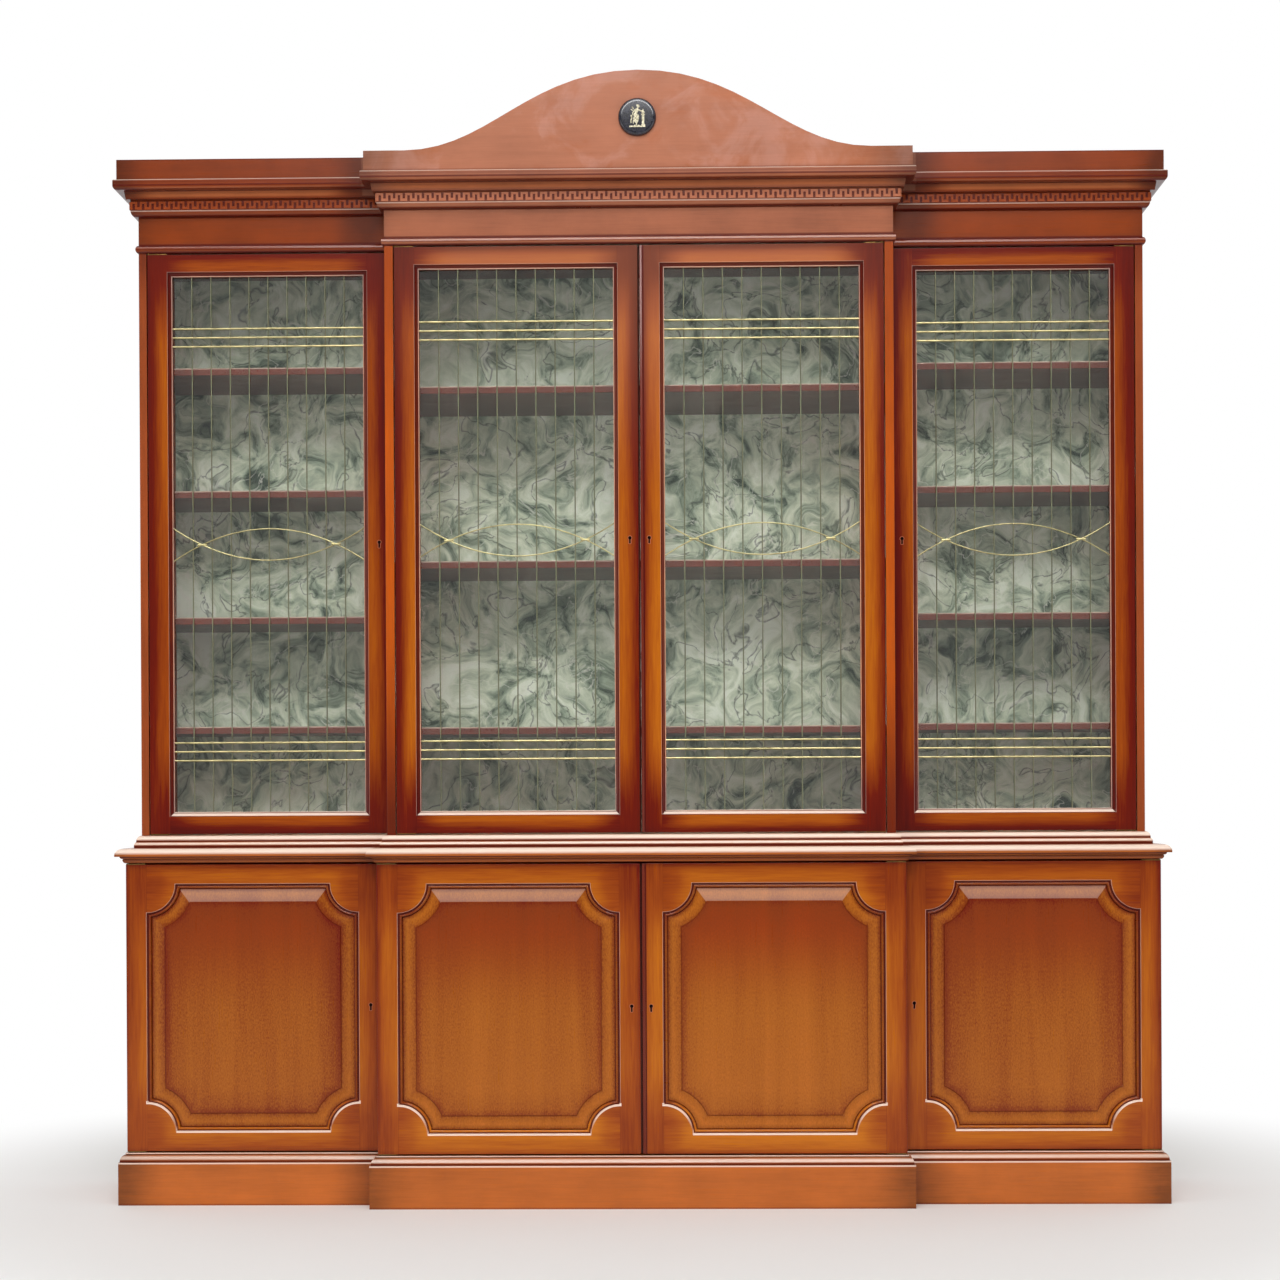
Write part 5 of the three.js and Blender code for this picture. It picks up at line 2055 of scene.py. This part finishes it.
class CABINET_OT_beads(bpy.types.Operator):
    """Lay the beads on the meeting doors and the glazing beads behind the glass."""

    bl_idname = "cabinet.beads"
    bl_label = "Beads"

    def execute(self, context):
        s = sizes()
        wood = moulded_wood("mahogany, lacquered, beads", "bead", 17.0, vertical=1.0)
        name = "mahogany, stained, glazing beads"
        inner = moulded_wood(name, "shelf", 18.0, vertical=1.0, gloss=0.4)
        for tier, place, body, low, high, _ in doors():
            if place == "centre_right":
                bead = block(
                    f"meeting_bead_{tier}",
                    (low.x + 0.2 * MM, low.y - 1.5 * MM, low.z + 0.5 * MM),
                    (low.x + s.meeting_bead - 0.4 * MM, low.y + 0.4 * MM, high.z - 0.5 * MM),
                )
                round_edges(bead, 0.9 * MM, 3)
                finished(settle(bead), wood, body)
            if place == "centre_left":
                # The back of the left door's edge is left 3 mm longer to close the gap
                lip = block(
                    f"meeting_lip_{tier}",
                    (high.x - 0.5 * MM, high.y - 7 * MM, low.z + 0.5 * MM),
                    (high.x + 3.0 * MM, high.y, high.z - 0.5 * MM),
                    0.3 * MM,
                )
                finished(lip, inner, body)
            if tier == "upper":
                finished(self.glazing(s, place, low, high), inner, body)
        return {"FINISHED"}

    def glazing(self, s, place, low, high):
        """Four mitred beads that hold the glass, between it and the back of the door."""
        glass_low, glass_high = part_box(f"glass_{place}")
        sight = low.x + s.glazed_stile + s.glazed_moulding
        depth = high.y - glass_high.y - 0.4 * MM
        deselect()
        bpy.ops.mesh.primitive_plane_add(size=1)
        ring = new_piece(f"glazing_beads_{place}")
        pane = glass_high - glass_low
        bpy.ops.transform.resize(value=(pane.x, pane.z, 1))
        bpy.ops.mesh.inset(thickness=sight - glass_low.x)
        bpy.ops.mesh.delete(type="FACE")
        bpy.ops.mesh.select_all(action="SELECT")
        extrude(z=depth)
        outward()
        deselect()
        middle = (glass_low + glass_high) / 2
        ring.rotation_euler.x = -math.pi / 2
        ring.location = (middle.x, glass_high.y + 0.2 * MM, middle.z)
        settle(ring)
        round_edges(ring, 1.2 * MM, 3, 60)
        return settle(ring)


class CABINET_OT_brasses(bpy.types.Operator):
    """Fit the upper pivots, the shelf pegs, the locks and the flush bolts."""

    bl_idname = "cabinet.brasses"
    bl_label = "Brasses"

    def execute(self, context):
        s = sizes()
        brass = brass_material("brass, plain, fittings", colours().hinge, 0.32, 8.0)
        pins = {joint["child"]: joint["pos_m"] for joint in frame["joints"]}
        for tier, place, body, low, high, side in doors():
            finished(self.pivot(tier, place, high, pins[body]), brass, body)
            finished(self.lock(s, tier, place, low, high, side), brass, body)
            if place == "centre_left":
                for end, level in (("foot", low.z + 40 * MM), ("head", high.z - 40 * MM)):
                    bolt = self.bolt(f"flush_bolt_{tier}_{end}", high, level)
                    finished(bolt, brass, body)
        peg = self.peg(s)
        for shelf in [name for name in frame["nodes"] if "shelf_" in name]:
            finished(self.pegs(s, peg, shelf), brass, ROOT)
        bpy.data.objects.remove(peg)
        return {"FINISHED"}

    def pivot(self, tier, place, high, pin):
        """The upper mate of a door's foot pivot: a plate let into its head, with a round boss."""
        low_plate, high_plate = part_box(f"{tier}_hinge_{place}")
        plate = block(
            "pivot_plate",
            (low_plate.x, low_plate.y, high.z),
            (high_plate.x, high_plate.y, high.z + 1.8 * MM),
            0.3 * MM,
        )
        boss = disc("pivot_boss", 3.5 * MM, 0.8 * MM, (pin[0], pin[1], high.z + 1.8 * MM))
        return settle(joined(f"upper_pivot_{tier}_{place}", [plate, boss]))

    def lock(self, s, tier, place, low, high, side):
        """A cupboard lock on the back of the opening stile, with its four screws."""
        at = keyhole_of(tier, low, high, side)
        edge = low.x + 1 * MM if side > 0 else high.x - 1 * MM
        far = edge + side * s.lock_width
        half = s.lock_height / 2
        back = high.y + s.lock_thickness
        low_corner = (min(edge, far), high.y, at.z - half)
        high_corner = (max(edge, far), back, at.z + half)
        parts = [block("lock_case", low_corner, high_corner, 0.8 * MM)]
        for inset in (6 * MM, 26 * MM):
            for share in (-0.8, 0.8):
                screw_at = (edge + side * inset, back, at.z + share * half)
                parts.append(disc("lock_screw", 2.2 * MM, 0.7 * MM, screw_at, "Y"))
        # The pin that a key turns on
        parts.append(disc("lock_pin", 1.6 * MM, 1.2 * MM, (at.x, back, at.z), "Y"))
        return settle(joined(f"lock_{tier}_{place}", parts))

    def bolt(self, name, high, level):
        """A flush bolt on the back of a meeting stile, with its thumb piece and two screws."""
        at = Vector((high.x - 14 * MM, high.y, level))
        parts = []
        # Low and high corners about the bolt's middle, and the rounding, in millimetres
        for part, low_corner, high_corner, rounding in (
            ("bolt_plate", (-7, 0, -34), (7, 1.6, 34), 0.4),
            ("bolt_thumb", (-3, 1.2, -7), (3, 4.0, 3), 0.8),
        ):
            corners = (at + MM * Vector(corner) for corner in (low_corner, high_corner))
            parts.append(block(part, *corners, rounding * MM))
        for up in (-27, 27):
            screw_at = at + MM * Vector((0, 1.6, up))
            parts.append(disc("bolt_screw", 2.0 * MM, 0.6 * MM, screw_at, "Y"))
        return settle(joined(name, parts))

    def peg(self, s):
        """A round peg along X, from x = 0, with a domed tip."""
        deselect()
        bpy.ops.mesh.primitive_cylinder_add(vertices=12, radius=s.peg / 2, depth=9 * MM)
        peg = new_piece("peg")
        select(peg, "FACE", lambda p, n: n.z > 0.9)
        bpy.ops.mesh.inset(thickness=0.2 * s.peg)
        bpy.ops.transform.translate(value=(0, 0, 1 * MM))
        deselect()
        peg.rotation_euler.y = math.pi / 2
        peg.location = (4.5 * MM, 0, 0)
        return settle(peg, smooth=60)

    def pegs(self, s, peg, shelf):
        """The four pegs that a shelf rests on."""
        low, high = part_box(shelf)
        level = low.z - s.peg / 2
        made = []
        for share in (0.2, 0.8):
            y = low.y + share * (high.y - low.y)
            made.append(copy_of(peg, "peg", (low.x - 0.8 * MM, y, level)))
            made.append(copy_of(peg, "peg", (high.x + 0.8 * MM, y, level), mirror=True))
        return joined(f"pegs_{shelf}", made)


class CABINET_PT_sidebar(bpy.types.Panel):
    """The cabinet's pieces, sizes and colours."""

    bl_label = "Breakfront Cabinet"
    bl_space_type = "VIEW_3D"
    bl_region_type = "UI"
    bl_category = "Cabinet"

    def draw(self, context):
        for operator in OPERATORS:
            self.layout.operator(operator.bl_idname)
        for group in (context.scene.cabinet_sizes, context.scene.cabinet_colours):
            box = self.layout.box()
            for name in group.__annotations__:
                box.prop(group, name)


OPERATORS = (
    CABINET_OT_stage,
    CABINET_OT_case,
    CABINET_OT_doors,
    CABINET_OT_fret,
    CABINET_OT_medallion,
    CABINET_OT_grilles,
    CABINET_OT_keyholes,
    CABINET_OT_beads,
    CABINET_OT_brasses,
)
CLASSES = (CabinetSizes, CabinetColours, *OPERATORS, CABINET_PT_sidebar)


def register():
    for made in CLASSES:
        bpy.utils.register_class(made)
    bpy.types.Scene.cabinet_sizes = PointerProperty(type=CabinetSizes)
    bpy.types.Scene.cabinet_colours = PointerProperty(type=CabinetColours)


def unregister():
    del bpy.types.Scene.cabinet_colours
    del bpy.types.Scene.cabinet_sizes
    for made in reversed(CLASSES):
        bpy.utils.unregister_class(made)


def main():
    register()
    for operator in OPERATORS:
        group, name = operator.bl_idname.split(".")
        getattr(getattr(bpy.ops, group), name)()
    boxes = {"cad": cad_box, "visual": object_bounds()}
    boxes = {name: [list(corner) for corner in box] for name, box in boxes.items()}


if __name__ == "__main__":
    main()
